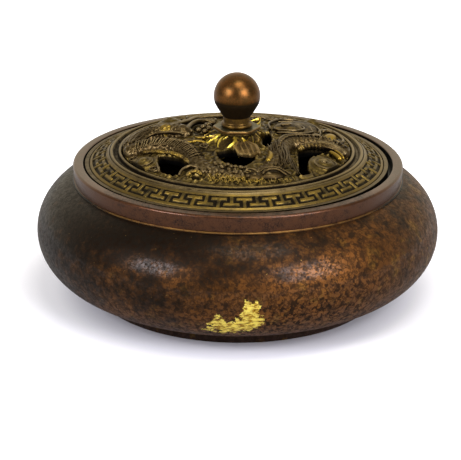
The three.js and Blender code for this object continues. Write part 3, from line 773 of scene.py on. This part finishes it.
# The dragon's body
# It comes in at the left rim, arches over, runs round the front and arches out to the right rim. Its
# haunch lies behind the left arch. Both stand half out of the plate and are covered in scales.
dragon_path = [
    (-33.4, -9.6, 0.2), (-31.0, -6.8, 0.2), (-26.4, -6.4, 0.3), (-21.8, -7.4, 0.4), (-18.0, -9.6, 0.4),
    (-15.0, -12.8, 0.4), (-12.8, -16.8, 0.2), (-11.0, -21.2, -0.4), (-7.6, -25.6, -1.2),
    (-2.4, -28.4, -1.6), (3.4, -28.2, -1.6), (8.6, -25.0, -1.0), (12.0, -20.2, -0.2), (13.0, -15.4, 0.2),
    (13.8, -10.4, 0.4), (16.0, -6.4, 0.4), (19.8, -4.6, 0.4), (24.2, -3.3, 0.4), (28.2, -3.2, 0.2),
    (31.2, -5.2, 0.0), (33.2, -9.0, -0.2),
]
hind_path = [
    (-33.6, -3.0, 0.0), (-30.6, 1.6, 0.0), (-27.0, 5.0, 0.2), (-22.6, 6.2, 0.4), (-18.0, 5.6, 0.2),
    (-14.6, 2.6, -0.2),
]
body_radius, hind_radius = 2.6 * mm, 3.2 * mm
body_scales, hind_scales = 10, 12
scale_length, scale_lift, scale_sink = 1.5 * mm, 0.36 * mm, 0.15 * mm
body_pitch = 0.27 * mm
rubbed_x, rubbed_y, rubbed_radius = -22.6 * mm, 4.6 * mm, 1.7 * mm


def on_dome(points):
    """Points drawn as (x, y, height above the dome), in millimetres, brought onto the plate."""
    placed = drawn(points)
    placed[:, 2] += dome(np.hypot(placed[:, 0], placed[:, 1]))
    return placed


def follow(points, pitch):
    """Even steps along a smooth curve: places, sideways and upward directions, and the length so far."""
    curve = smooth_path(points, 12)
    length = np.concatenate([[0], np.cumsum(np.linalg.norm(np.diff(curve, axis=0), axis=1))])
    so_far = np.linspace(0, length[-1], max(6, round(length[-1] / pitch)))
    place = np.stack([np.interp(so_far, length, curve[:, i]) for i in range(3)], axis=-1)
    ahead = np.gradient(place, axis=0)
    sideways = np.cross(ahead, (0, 0, 1))
    sideways /= np.linalg.norm(sideways, axis=1, keepdims=True)
    upward = np.cross(sideways, ahead)
    upward /= np.linalg.norm(upward, axis=1, keepdims=True)
    return place, sideways, upward, so_far


def ring_sweep(path, radius, angle):
    """place + radius (sideways cos a + upward sin a) at every step and angle, held inside the window."""
    place, sideways, upward, _ = path
    turn = np.cos(angle)[:, None] * sideways[:, None] + np.sin(angle)[:, None] * upward[:, None]
    points = place[:, None] + radius[..., None] * turn
    out = np.hypot(points[..., 0], points[..., 1])
    points[..., :2] *= (np.minimum(out, plate_radius) / np.maximum(out, mm))[..., None]
    points[..., 0] += lid_centre
    return points


def blunt(so_far, end):
    """1 along the middle and a quarter circle down to 0 over the length end at both ends."""
    near_end = np.clip(np.minimum(so_far, so_far[-1] - so_far) / end, 0, 1)
    return np.sqrt(1 - (1 - near_end) ** 2)


def scales(along, across):
    """0 at a scale's root to 1 at its tip, in lengths and widths. Each row shifts by half a width and
    its tips lie 0.9 + 0.7 sqrt(1 - (2 b)^2) lengths on, b being the place across the scale."""
    row = np.floor(along)
    height = np.zeros(np.broadcast(along, across).shape)
    for back in (0, 1):
        place = across + 0.5 * np.mod(row - back, 2)
        place = place - np.floor(place) - 0.5
        reach = 0.9 + 0.7 * np.sqrt(1 - 4 * place ** 2)
        ramp = (along - row + back) / reach
        height = np.where(ramp < 1, ramp, height)
    return height


for name, points, radius, around in [
        ("dragon_body", dragon_path, body_radius, body_scales),
        ("dragon_haunch", hind_path, hind_radius, hind_scales)]:
    path = follow(on_dome(points), body_pitch)
    angle = np.linspace(0, 2 * np.pi, 7 * around, endpoint=False)
    tile = scales(path[3][:, None] / scale_length, angle / (2 * np.pi) * around)
    swell = blunt(path[3], radius)[:, None] * (radius - scale_sink + scale_lift * tile)
    body_points = ring_sweep(path, swell, angle).reshape(-1, 3)
    body_relief = (0.1 + 0.75 * tile).ravel()
    rubbed = np.hypot(body_points[:, 0] - rubbed_x, body_points[:, 1] - rubbed_y) < rubbed_radius
    body_gilt = np.where(rubbed, 0.58, 0.3 * body_relief)
    new_piece(
        name, (body_points, grid_faces(*tile.shape), body_relief, body_gilt), dragon_bronze,
        "lid", crease=50)

# Fins, mane, head and clouds
# Everything that the chaser drew with a single ridge: the dragon's comb, its belly plates, claws, mane,
# whiskers and brows, and the scrolls of the clouds. All are cast with the plate. Widths, sizes and
# steps are in millimetres, and each place is (x, y, height above the dome).
ridges = []
lock_width = 0.24
plain_pitch, ribbed_pitch = 0.4 * mm, 0.22 * mm


def keep(points, relief, gilt):
    """Adds a grid of points to the ridges, with its relief and gilt."""
    shape = points.shape[:2]
    ridges.append((
        points.reshape(-1, 3), grid_faces(*shape), np.broadcast_to(relief, shape).ravel(),
        np.full(shape, gilt).ravel()))


def ridge(points, width, height=None, ribs=0.0, rib_step=1.0, gilt=0.2, taper=(1.0, 1.0), tone=0.8,
          placed=False):
    """A ridge along a curve through points drawn over the dome, or placed there already. It is an oval of
    this half width and height, tapers by these shares and has cross ribs of this share."""
    path = follow(points if placed else on_dome(points), ribbed_pitch if ribs else plain_pitch)
    along = path[3] / path[3][-1]
    size = blunt(path[3], 1.2 * width * mm) * (taper[0] + (taper[1] - taper[0]) * along)
    rib = np.abs(np.sin(np.pi * path[3] / (rib_step * mm)))
    size = size * (1 - ribs + ribs * rib)
    angle = np.linspace(0, 2 * np.pi, 10, endpoint=False)
    oval = 1 / np.hypot(np.cos(angle) / (width * mm), np.sin(angle) / ((height or width) * mm))
    relief = 0.1 + tone * np.maximum(np.sin(angle), 0) * (1 - 2 * ribs * (1 - rib))[:, None]
    keep(ring_sweep(path, size[:, None] * oval, angle), relief, gilt)


def bead(x, y, lift, size, gilt=0.2, tone=0.7):
    """A round bead, size being its three half widths."""
    turn, tilt = np.meshgrid(np.linspace(0, 2 * np.pi, 16, endpoint=False), np.linspace(-90, 90, 11))
    tilt = np.radians(tilt)
    ball = np.stack([np.cos(tilt) * np.cos(turn), np.cos(tilt) * np.sin(turn), np.sin(tilt)], axis=-1)
    points = on_dome([(x, y, lift)]) + ball * np.array(size) * mm
    points[..., 0] += lid_centre
    keep(points, 0.2 + tone * np.maximum(np.sin(tilt), 0), gilt)


def fringe(points, radius, step, lean, side, width):
    """Short spines on a body of this radius, a step apart along its top: each starts over the crown,
    leans back and comes down on one side."""
    place, sideways, upward, so_far = follow(on_dome(points), plain_pitch)
    ahead = np.cross(upward, sideways)
    for where in np.arange(1.5, so_far[-1] / mm - 1.5, step):
        i = np.searchsorted(so_far, where * mm)
        out, up, back = side * sideways[i], upward[i], -lean * ahead[i]
        crown = place[i] + (up * (radius + 0.5) - 0.4 * out) * mm
        middle = crown + (out + 0.5 * back - 0.15 * up) * mm
        tip = place[i] + (out * (radius - 0.1) + up * radius * 0.62 + back) * mm
        ridge([crown, middle, tip], width, gilt=0.15, taper=(1.0, 0.4), placed=True)


def hair(points, spread, radius, count):
    """Long wavy locks side by side over a body of this radius, running along it and out past its edges.
    Lock k lies spread k off the middle line and rides at sqrt(radius^2 - offset^2) above it."""
    curve = smooth_path(points, 10)
    ahead = np.gradient(curve[:, :2], axis=0)
    ahead /= np.linalg.norm(ahead, axis=1, keepdims=True)
    normal = np.stack([ahead[:, 1], -ahead[:, 0]], axis=-1)
    for k, offset in enumerate(np.linspace(*spread, count)):
        share = np.linspace(0.05 * (k % 3), 1.0 - 0.07 * ((2 * k) % 5), 9)
        at = np.round(share * (len(curve) - 1)).astype(int)
        off = offset * (0.55 + 0.6 * share) + 0.35 * np.sin(9 * share + 1.3 * k)
        high = curve[at, 2] + np.sqrt(np.maximum(radius ** 2 - off ** 2, 0.3)) - 0.1 * (k % 2)
        spot = curve[at, :2] + normal[at] * off[:, None]
        ridge(np.column_stack([spot, high]), lock_width, gilt=0.15, taper=(1.0, 0.45), tone=0.55)


def spray(first, last, count, reach, width, lift, gilt):
    """Fine whiskers that fan out to the rim from places between first and last, each at its own slant."""
    for k in range(count):
        share = (k + 0.5) / count
        x = first[0] + (last[0] - first[0]) * share
        y = first[1] + (last[1] - first[1]) * share + 0.9 * math.sin(2.7 * k)
        slant = 1.5 * math.sin(1.9 * k + 0.5)
        long = reach * (0.7 + 0.3 * math.cos(2.3 * k))
        ridge([(x, y, lift), (x + 0.4 * slant, y - 0.5 * long, lift + 0.25),
               (x + slant, y - long, lift - 0.5)], width, gilt=gilt, taper=(1.0, 0.4))


def spiral(x, y, radius, turns, hand, width, lift, climb=0.0, start=0.0, gilt=0.25):
    """A scroll that winds in from this radius round (x, y), and climbs on its way."""
    share = np.linspace(0, 1, round(9 * turns))
    angle = start + hand * 2 * np.pi * turns * share
    away = radius * (1 - 0.8 * share)
    height = lift + climb * np.sqrt(share)
    ridge(
        np.stack([x + away * np.cos(angle), y + away * np.sin(angle), height], axis=-1), width,
        gilt=gilt, taper=(1.0, 0.6))


def join(parts):
    """Several shapes of points, faces, relief and gilt, put together as one."""
    points, faces, relief, gilt = zip(*parts)
    firsts = np.cumsum([0] + [len(part) for part in points])
    joined = [[corner + first for corner in face] for first, part in zip(firsts, faces) for face in part]
    return np.concatenate(points), joined, np.concatenate(relief), np.concatenate(gilt)


# the left arch with its comb and the gilt fin over the hole
fringe(dragon_path[1:8], 2.6, 0.95, 1.4, 1, 0.34)
fringe(dragon_path[1:8], 2.6, 0.95, 1.2, -1, 0.3)
ridge([(-28.6, -8.9, 0.4), (-25.5, -9.6, 0.5), (-22.5, -11.2, 0.6), (-19.0, -13.4, 0.6),
       (-15.9, -16.9, 0.5), (-13.6, -21.0, 0.2)], 1.0, 0.9, ribs=0.3, rib_step=0.7, gilt=0.46)
ridge([(-31.6, -8.8, 1.4), (-28.6, -7.6, 2.0), (-24.6, -8.4, 2.2), (-20.6, -10.0, 2.2),
       (-17.0, -13.0, 2.0)], 0.4)
# the right arch with its belly plates, arm and gilt claws
fringe(dragon_path[13:], 2.6, 1.05, 1.2, -1, 0.32)
ridge([(12.6, -9.2, 3.0), (14.6, -5.6, 3.1), (18.6, -3.2, 3.1), (23.0, -2.4, 3.0), (26.6, -2.6, 2.9),
       (29.4, -3.6, 2.6)], 0.45)
ridge([(18.6, -10.6, 0.8), (20.6, -8.0, 1.1), (23.8, -6.3, 1.2), (28.4, -5.6, 1.0)], 1.2,
      ribs=0.3, rib_step=1.3, gilt=0.4)
ridge([(23.6, -4.8, 1.6), (27.4, -5.6, 1.9), (30.8, -7.2, 1.7), (33.2, -9.8, 1.0)], 0.95, 1.1, gilt=0.15)
ridge([(26.6, -6.9, 1.6), (29.6, -8.4, 1.8), (32.2, -11.2, 1.2)], 0.42, 0.6, gilt=0.3)
ridge([(28.0, -9.2, 1.3), (29.8, -11.2, 1.3), (31.4, -14.0, 1.0)], 0.8, gilt=0.75, taper=(0.6, 1.0))
ridge([(29.6, -9.0, 1.9), (31.2, -11.4, 1.9), (32.4, -13.8, 1.4)], 0.3, 0.4, gilt=0.9)
# pale lips beside the front holes
ridge([(-17.0, -28.4, 0.4), (-15.8, -25.4, 0.7), (-13.6, -24.0, 0.9), (-11.0, -25.2, 0.7),
       (-9.6, -27.6, 0.3)], 0.42, 0.6)
ridge([(-14.6, -29.4, 0.5), (-13.4, -27.8, 0.9), (-11.6, -27.6, 0.9), (-10.0, -29.2, 0.6)], 0.8, 0.7,
      ribs=0.25, gilt=0.45)
ridge([(-23.8, -13.0, 0.3), (-23.8, -18.6, 0.5), (-22.8, -24.6, 0.3)], 0.4, 0.6)

# the head and its mane
bead(9.4, -28.2, 0.0, (4.8, 3.0, 1.5), gilt=0.25, tone=0.4)
bead(4.8, -29.6, 0.0, (3.0, 2.3, 1.2), gilt=0.3, tone=0.4)
bead(9.2, -29.4, 1.2, (1.3, 0.8, 0.6), gilt=0.0)
ridge([(7.4, -30.6, 1.5), (9.0, -28.9, 2.1), (12.0, -28.5, 2.1), (14.8, -29.9, 1.2)], 0.3, 0.4, tone=0.6)
ridge([(6.6, -29.6, 1.7), (8.8, -27.6, 2.1), (12.4, -27.2, 2.0), (16.0, -28.6, 0.9)], 0.3, 0.35, tone=0.6)
ridge([(2.0, -29.6, 1.1), (3.2, -28.4, 1.8), (5.2, -28.8, 1.9), (6.4, -30.0, 1.5)], 0.3, 0.35, gilt=0.3)
spiral(3.2, -30.0, 1.0, 1.1, 1, 0.32, lift=1.7, gilt=0.4)
ridge([(12.2, -26.2, 1.4), (14.6, -22.6, 2.6), (14.6, -17.4, 3.0), (13.2, -12.6, 3.0)], 0.45, 0.5,
      taper=(1.0, 0.35), tone=0.6)
hair([(12.6, -9.6, 0.6), (13.0, -14.0, 0.3), (13.4, -19.0, 0.1), (14.2, -24.0, 0.0), (15.6, -29.0, -0.2)],
     (-3.6, 4.2), 2.9, 24)
hair([(9.6, -12.0, 0.8), (10.2, -17.0, 0.5), (10.6, -21.0, 0.3), (11.0, -25.4, 0.2)], (-2.6, 1.0), 1.8, 9)
# gilt strips left of the petals
ridge([(-16.0, -4.8, 0.7), (-13.8, -5.8, 1.0), (-11.8, -5.6, 1.1), (-9.6, -7.0, 1.0)], 0.36, 0.4,
      gilt=0.75)
ridge([(-13.0, -2.2, 1.2), (-11.4, -3.6, 1.4), (-9.4, -3.6, 1.3)], 0.32, 0.4, gilt=0.6)
# the breast: beads over fine gilt whiskers
breast_beads = 48
for k in range(breast_beads):
    share = k / (breast_beads - 1)
    x = -12.0 + 17.0 * share + 0.7 * math.sin(5.1 * k)
    y = -23.6 - 5.6 * share + 2.6 * math.sin(2.4 * k)
    bead(x, y, 0.9 + 0.3 * math.sin(3.3 * k), (0.66, 0.6, 0.6), gilt=0.15)
spray((-9.0, -29.0), (3.0, -30.4), 40, 2.4, 0.18, 0.6, 0.55)
spray((-8.0, -31.0), (8.0, -31.8), 44, 1.7, 0.16, 0.4, 0.6)
spray((3.0, -31.2), (16.6, -29.2), 26, 2.0, 0.18, 0.4, 0.5)
ridge([(9.5, -14.4, 1.4), (10.1, -18.2, 1.9), (9.2, -22.6, 1.6)], 1.15, 0.8, gilt=0.7, taper=(0.6, 0.9))

# the haunch behind the left arch with its outline and hair, and the paw beside the knob
ridge([(-32.6, -4.6, 1.6), (-30.4, 1.6, 2.0), (-27.0, 8.0, 2.0), (-23.0, 9.8, 2.2), (-19.0, 9.6, 2.2),
       (-16.0, 7.0, 2.0), (-13.8, 3.4, 1.2)], 0.5, 0.55)
ridge([(-31.0, -4.8, 1.4), (-28.0, 0.6, 1.8), (-25.4, 2.4, 2.2), (-22.0, 2.2, 2.2), (-18.6, 2.0, 1.8),
       (-16.0, 1.8, 1.0)], 0.5)
hair([(-33.0, -6.4, 0.0), (-31.2, -1.0, 0.2), (-28.0, 3.6, 0.4), (-24.4, 5.6, 0.4)], (-2.8, 2.2), 3.3, 15)
ridge([(-14.8, 2.0, 0.6), (-15.4, 6.6, 0.9), (-14.6, 11.4, 1.2), (-12.6, 15.0, 1.4), (-9.4, 16.6, 1.0),
       (-6.8, 15.6, 0.4)], 0.75, 0.9)
ridge([(-12.8, 15.2, 0.8), (-10.6, 17.8, 0.8), (-6.4, 18.4, 0.4)], 0.4, 0.5)
ridge([(-10.2, 7.2, 0.6), (-9.4, 10.6, 0.8), (-9.8, 14.0, 0.6)], 0.7, 0.8)
for place in [
        (-10.4, 6.6, 1.6), (-8.8, 8.0, 1.8), (-8.6, 5.4, 1.4), (-11.8, 4.8, 1.2), (-9.8, 3.6, 1.0)]:
    bead(*place, (1.0, 0.9, 0.9), gilt=0.0, tone=0.95)

# clouds: a leaf-shaped scroll at the back right, a band round the back and spirals between
bead(18.0, 13.6, -0.4, (7.8, 9.0, 1.7), gilt=0.35, tone=0.05)
bead(16.0, 10.6, 0.6, (4.8, 5.0, 1.6), gilt=0.4, tone=0.1)
ridge([(10.6, 7.6, 0.8), (10.2, 14.6, 0.9), (13.6, 21.4, 0.9), (19.4, 23.2, 0.9), (24.0, 18.8, 0.9),
       (26.2, 12.0, 0.8), (26.0, 6.4, 0.6)], 0.34, 0.6)
ridge([(11.4, 8.0, 1.0), (13.4, 5.8, 1.2), (18.6, 6.2, 1.4), (21.2, 10.6, 1.3), (18.6, 15.0, 1.2),
       (13.6, 15.2, 1.0)], 0.3, 0.5)
ridge([(13.0, 17.2, 1.0), (17.6, 18.4, 1.2), (22.6, 15.4, 1.2), (23.8, 9.4, 1.0)], 0.26, 0.4)
ridge([(12.2, 4.0, 0.8), (16.6, 4.0, 1.2), (21.4, 5.4, 1.2), (24.2, 9.4, 1.0)], 0.3, 0.4)
ridge([(13.6, 9.2, 2.0), (16.8, 10.2, 2.2), (17.0, 13.0, 1.9)], 0.3, 0.35, gilt=0.4)
bead(29.2, 7.6, 0.1, (2.2, 3.0, 1.3), gilt=0.62, tone=0.4)
bead(24.6, 3.4, 0.8, (1.8, 1.6, 1.3), gilt=0.0, tone=0.9)
ridge([(27.0, 10.8, 1.0), (28.4, 13.0, 1.0), (31.0, 11.6, 1.0), (32.8, 7.4, 0.9), (33.0, 3.4, 0.9),
       (31.6, 1.6, 1.0), (29.8, 2.2, 1.1)], 0.42, 0.6, tone=0.9)
ridge([(25.4, 8.8, 1.0), (26.8, 12.6, 0.9), (29.4, 14.6, 0.8), (31.6, 12.8, 0.6)], 0.34, 0.5)
for offset in (-1.1, 0.0, 1.1):
    ridge([(-26.0, 18.4 + offset, 0.5), (-20.6, 16.6 + offset, 0.8), (-16.2, 20.2 + offset, 0.8),
           (-12.4, 26.0 + offset, 0.8), (-5.0, 27.4 + offset, 0.8), (3.2, 26.6 + offset, 0.8),
           (10.6, 28.2 + offset, 0.4)], 0.42, 0.6)
for x, y, radius, hand, start in [
        (-27.6, -17.6, 3.9, 1, 2.2), (25.8, -18.8, 4.4, -1, 1.2), (-22.0, 22.4, 3.6, 1, 0.4),
        (0.0, 30.8, 2.7, 1, 3.0), (24.4, 24.2, 3.0, -1, 2.0), (-30.0, 8.6, 2.4, 1, 1.0),
        (-17.4, 13.6, 2.2, -1, 4.0), (10.6, 24.8, 2.4, -1, 0.6), (17.0, 27.8, 2.6, 1, 3.8),
        (-8.6, 22.0, 2.2, 1, 5.0), (30.4, 15.2, 2.4, -1, 3.4), (-30.8, -13.2, 2.0, -1, 0.0),
        (-24.6, -22.6, 2.0, 1, 4.6), (-14.2, 29.6, 2.2, 1, 2.6), (-9.6, -9.0, 1.9, 1, 0.8),
        (-14.8, -4.4, 2.2, -1, 2.4), (-20.0, -2.6, 1.9, 1, 5.2), (16.6, 0.0, 2.0, 1, 1.6),
        (28.6, -1.0, 1.6, -1, 0.4), (6.6, 22.4, 1.8, 1, 2.2), (-26.6, 13.2, 1.9, -1, 3.0)]:
    on_boss = radius > 3.7
    spiral(x, y, radius, 1.5, hand, 0.34, lift=0.8 if on_boss else 0.6, climb=0.7 if on_boss else 0.0,
           start=start)
bead(25.8, -18.8, 1.5, (1.2, 1.1, 0.8), gilt=0.0, tone=0.95)

new_piece("dragon_ridges", join(ridges), dragon_bronze, "lid", crease=60)

# Fittings inside the bowl and under the lid
# The dish, stand and pin and the screw's washer are turned brass gone brown with smoke. The screw is
# steel and the mat is charred pressed fibre, a soft fuzz of short threads.
smoked_brass = mottled_bronze(
    "smoked_brass", rgb(44, 34, 20), rgb(70, 54, 30), rgb(76, 58, 30), flecks=0.3, gloss=0.45, coat=0.0)
plain_steel = mottled_bronze(
    "plain_steel", rgb(120, 120, 118), rgb(150, 149, 146), rgb(158, 156, 150), flecks=0.1, gloss=0.3)
mat_fibre, fibre_shader, fibre_place = new_material("mat_fibre")
thread = fibre_place.noise(0.5 * mm, detail=6.0, roughness=0.8)
fibre_place.feed(fibre_shader, {
    "Base Color": thread.step(0.3, 0.7).mix(rgb(46, 43, 40), rgb(84, 80, 74)),
    "Roughness": 0.95, "Normal": thread.bump(0.2 * mm)})
for node, material in {
        "liner_dish": smoked_brass, "coil_stand": smoked_brass, "stand_pin": smoked_brass,
        "screw_washer": smoked_brass, "knob_screw": plain_steel, "ash_mat": mat_fibre}.items():
    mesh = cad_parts[node].data
    mesh.materials.clear()
    mesh.materials.append(material)

# The petals
# A cup with two rings of crinkled leaves under the knob, fire gilt and rubbed bright on the folds.
# One larger leaf, cast with them, hangs over the front hole.
petal_low, petal_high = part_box("petal_seat")
cup_foot, cup_side, cup_top, cup_ease = 5.6 * mm, 6.4 * mm, 6.0 * mm, 0.6 * mm
cup_steps = 48
leaf_thickness = 0.55 * mm
petal_root, petal_sink, petal_fold = 5.2 * mm, 0.3 * mm, 0.55 * mm
petal_gilt = relief_bronze(
    "petal_gilt", rgb(40, 30, 13), rgb(102, 82, 38), rgb(158, 132, 62), rgb(240, 212, 84), gloss=0.18)
leaf_bronze = relief_bronze(
    "leaf_bronze", rgb(60, 47, 26), rgb(142, 116, 68), rgb(190, 166, 108), rgb(196, 160, 70), gloss=0.36)


def leaf(azimuth, root, reach, width, top, drop, fold, phase, point=0.5, waves=1.7):
    """A thick crinkled leaf. Along it, u from 0 to 1, it widens and then narrows to a point and falls by
    drop u^1.5; across it, v from -1 to 1, sharp folds of this height follow cos(waves pi v + phase).
    Gives its points, faces and relief, which is high on the folds and along the edges. The underside is
    painted shade, at three tenths of the top's relief."""
    along, across = np.meshgrid(np.linspace(0, 1, 20), np.linspace(-1, 1, 29), indexing="ij")
    half = 0.5 * width * np.minimum(0.45 + 1.6 * along, 1) * np.clip((1 - along) / point, 0, 1) ** 0.7
    crease = 1 - 2 * np.abs(np.sin(0.5 * (waves * np.pi * across + phase + 1.6 * along)))
    radius = root + (reach - root) * along - 0.14 * (reach - root) * across ** 2
    height = top - drop * along ** 1.5 + fold * crease * (0.2 + along) - fold * across ** 2
    turn = math.radians(azimuth)
    x = lid_centre + radius * math.cos(turn) - half * across * math.sin(turn)
    y = radius * math.sin(turn) + half * across * math.cos(turn)
    upper = np.stack([x, y, height], axis=-1)
    loop = np.concatenate([upper, upper[:, ::-1] - [0, 0, leaf_thickness]], axis=1)
    caps = loop[[0, -1]].mean(axis=1, keepdims=True) + 0 * loop[[0, -1]]
    points = np.concatenate([caps[:1], loop, caps[1:]])
    tone = 0.15 + 0.75 * np.maximum(crease, 0) ** 2 + 0.7 * np.abs(across) ** 8 + 0.5 * along ** 6
    tone = np.clip(tone, 0, 1)
    # painted shade under the leaf: the underside takes three tenths of the top's relief
    relief = np.concatenate([tone, 0.3 * tone[:, ::-1]], axis=1)
    relief = np.concatenate([relief[:1], relief, relief[-1:]])
    return points.reshape(-1, 3), grid_faces(*relief.shape), relief.ravel()


cup = revolve([
    (screw_hole, petal_low[2]), (cup_foot, petal_low[2]), (cup_side, petal_high[2] - cup_ease),
    (cup_top, petal_high[2]), (screw_hole, petal_high[2])], cup_steps, lid_centre)
petals = [(*cup, np.full(len(cup[0]), 0.2), np.full(len(cup[0]), 0.1))]
for azimuth, reach, width, drop, shine in [
        (-146, 13.4, 6.6, 4.4, 1.1), (-114, 13.8, 7.6, 4.6, 0.8), (-86, 12.0, 5.8, 4.2, 1.0),
        (-58, 9.8, 5.6, 2.8, 0.6), (-28, 8.6, 5.4, 2.4, 0.3), (8, 8.8, 5.6, 2.2, 0.4),
        (48, 11.4, 6.0, -0.9, 0.9), (80, 10.0, 6.6, 2.2, 0.4), (118, 9.8, 6.0, 2.4, 0.4),
        (154, 10.6, 6.4, 2.4, 0.4), (-168, 11.0, 5.6, 2.4, 0.5), (-120, 8.6, 4.4, 1.5, 0.6),
        (-70, 8.4, 4.6, 1.6, 0.5), (-8, 8.2, 5.0, 1.4, 0.3), (100, 8.6, 5.0, 1.5, 0.3)]:
    points, faces, relief = leaf(
        azimuth, petal_root, reach * mm, width * mm, petal_high[2] - petal_sink, drop * mm, petal_fold,
        0.7 * azimuth)
    petals.append((points, faces, relief, shine * (0.2 + relief)))
new_piece("petals", join(petals), petal_gilt, "lid", ["petal_seat"])
points, faces, relief = leaf(
    azimuth=-76, root=9.0 * mm, reach=18.2 * mm, width=7.2 * mm, top=petal_low[2] + 1.5 * mm,
    drop=1.5 * mm, fold=0.28 * mm, phase=0.6, point=0.1, waves=5)
new_piece("hanging_leaf", (points, faces, relief, 0.45 * relief), leaf_bronze, "lid")

# The flange
# A thin six-sided plate with soft corners between the petals and the knob, rubbed to copper on its edge.
# Its profile is (how far in from the edge or, at the hole, the radius, share of the height, relief).
flange_low, flange_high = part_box("knob_flange")
flange_across = flange_high[1] - flange_low[1]
corner_reach = 0.545 * flange_across
flange_profile = [
    (screw_hole, 0.0, 0.0), (0.35 * mm, 0.0, 0.5), (0.0, 0.25, 1.0), (0.0, 0.75, 1.0),
    (0.3 * mm, 1.0, 0.6), (0.8 * mm, 0.9, 0.35), (screw_hole, 0.9, 0.3)]
flange_angle = np.linspace(0, 2 * np.pi, 96, endpoint=False)
sixth = np.mod(flange_angle, math.pi / 3) - math.pi / 6
flange_edge = np.minimum(0.5 * flange_across / np.cos(sixth), corner_reach)
inset, level, tone = np.array(flange_profile).T[:, :, None]
flange_r = np.where(inset == screw_hole, screw_hole, flange_edge - inset)
flange_z = flange_low[2] + level * (flange_high[2] - flange_low[2])
flange_points = round_axis(flange_r, flange_angle, flange_z, lid_centre)
flange_bronze = relief_bronze(
    "flange_bronze", rgb(58, 52, 36), rgb(106, 99, 70), rgb(144, 108, 58), rgb(170, 120, 60), gloss=0.22)
new_piece(
    "flange_plate",
    (flange_points.reshape(-1, 3), grid_faces(*flange_r.shape, True), tone + 0 * flange_r),
    flange_bronze, "lid", ["knob_flange"], crease=30)

# The knob
# A turned ball on a cone, neck and bead. Handling has polished the ball to copper; the cone under the ball
# is coloured dark and the neck is dull gold.
knob_low, knob_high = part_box("knob")
cone_start = 2.46 * mm
neck_radius, neck_height = 4.15 * mm, 3.2 * mm
bead_radius, bead_height, bead_bulge = 4.9 * mm, 1.3 * mm, 0.65 * mm
knob_ease = 0.1 * mm
screw_grip = 5.8 * mm
knob_steps = 96
ball_radius = (knob_high[0] - knob_low[0]) / 2
ball_centre = knob_high[2] - ball_radius
knob_foot = knob_low[2]
bead_top = knob_foot + bead_height
neck_top = knob_foot + neck_height
cone_angle = math.degrees(math.asin(cone_start / ball_radius))
ball_foot = math.sqrt(ball_radius ** 2 - cone_start ** 2)
knob_profile = [
    (0, knob_foot + screw_grip),
    (screw_hole, knob_foot + screw_grip),
    (screw_hole, knob_foot),
    *bow(bead_radius - bead_bulge, knob_foot + bead_height / 2, bead_bulge, bead_height / 2, -80, 80, 9),
    (neck_radius + knob_ease, bead_top),
    (neck_radius, bead_top + 3 * knob_ease),
    (neck_radius, neck_top - knob_ease),
    (neck_radius + knob_ease, neck_top),
    (neck_radius + 2 * knob_ease, neck_top + 1.5 * knob_ease),
    *[(neck_radius + (ball_foot - neck_radius) * t ** 0.85,
       neck_top + (ball_centre - cone_start - neck_top) * t) for t in np.linspace(0.1, 0.98, 8)],
    *bow(0, ball_centre, ball_radius, ball_radius, -cone_angle, 89, 40),
    (0, knob_high[2]),
]
knob_z = np.array(knob_profile)[:, 1]
knob_relief = np.interp(
    knob_z,
    [knob_foot, bead_top, neck_top, neck_top + 0.2 * mm, ball_centre - 1.3 * mm, ball_centre - mm],
    [0.5, 0.4, 0.4, -0.1, -0.1, 0.72])
knob_gilt = np.where(knob_z < neck_top, 0.5, 0.0)
knob_bronze = relief_bronze(
    "knob_bronze", rgb(48, 37, 22), rgb(78, 57, 28), rgb(130, 82, 38), rgb(126, 98, 42), gloss=0.23)
new_piece(
    "knob_ball", (
        *revolve(knob_profile, knob_steps, lid_centre), np.repeat(knob_relief, knob_steps),
        np.repeat(knob_gilt, knob_steps)),
    knob_bronze, "lid", ["knob"], crease=10)
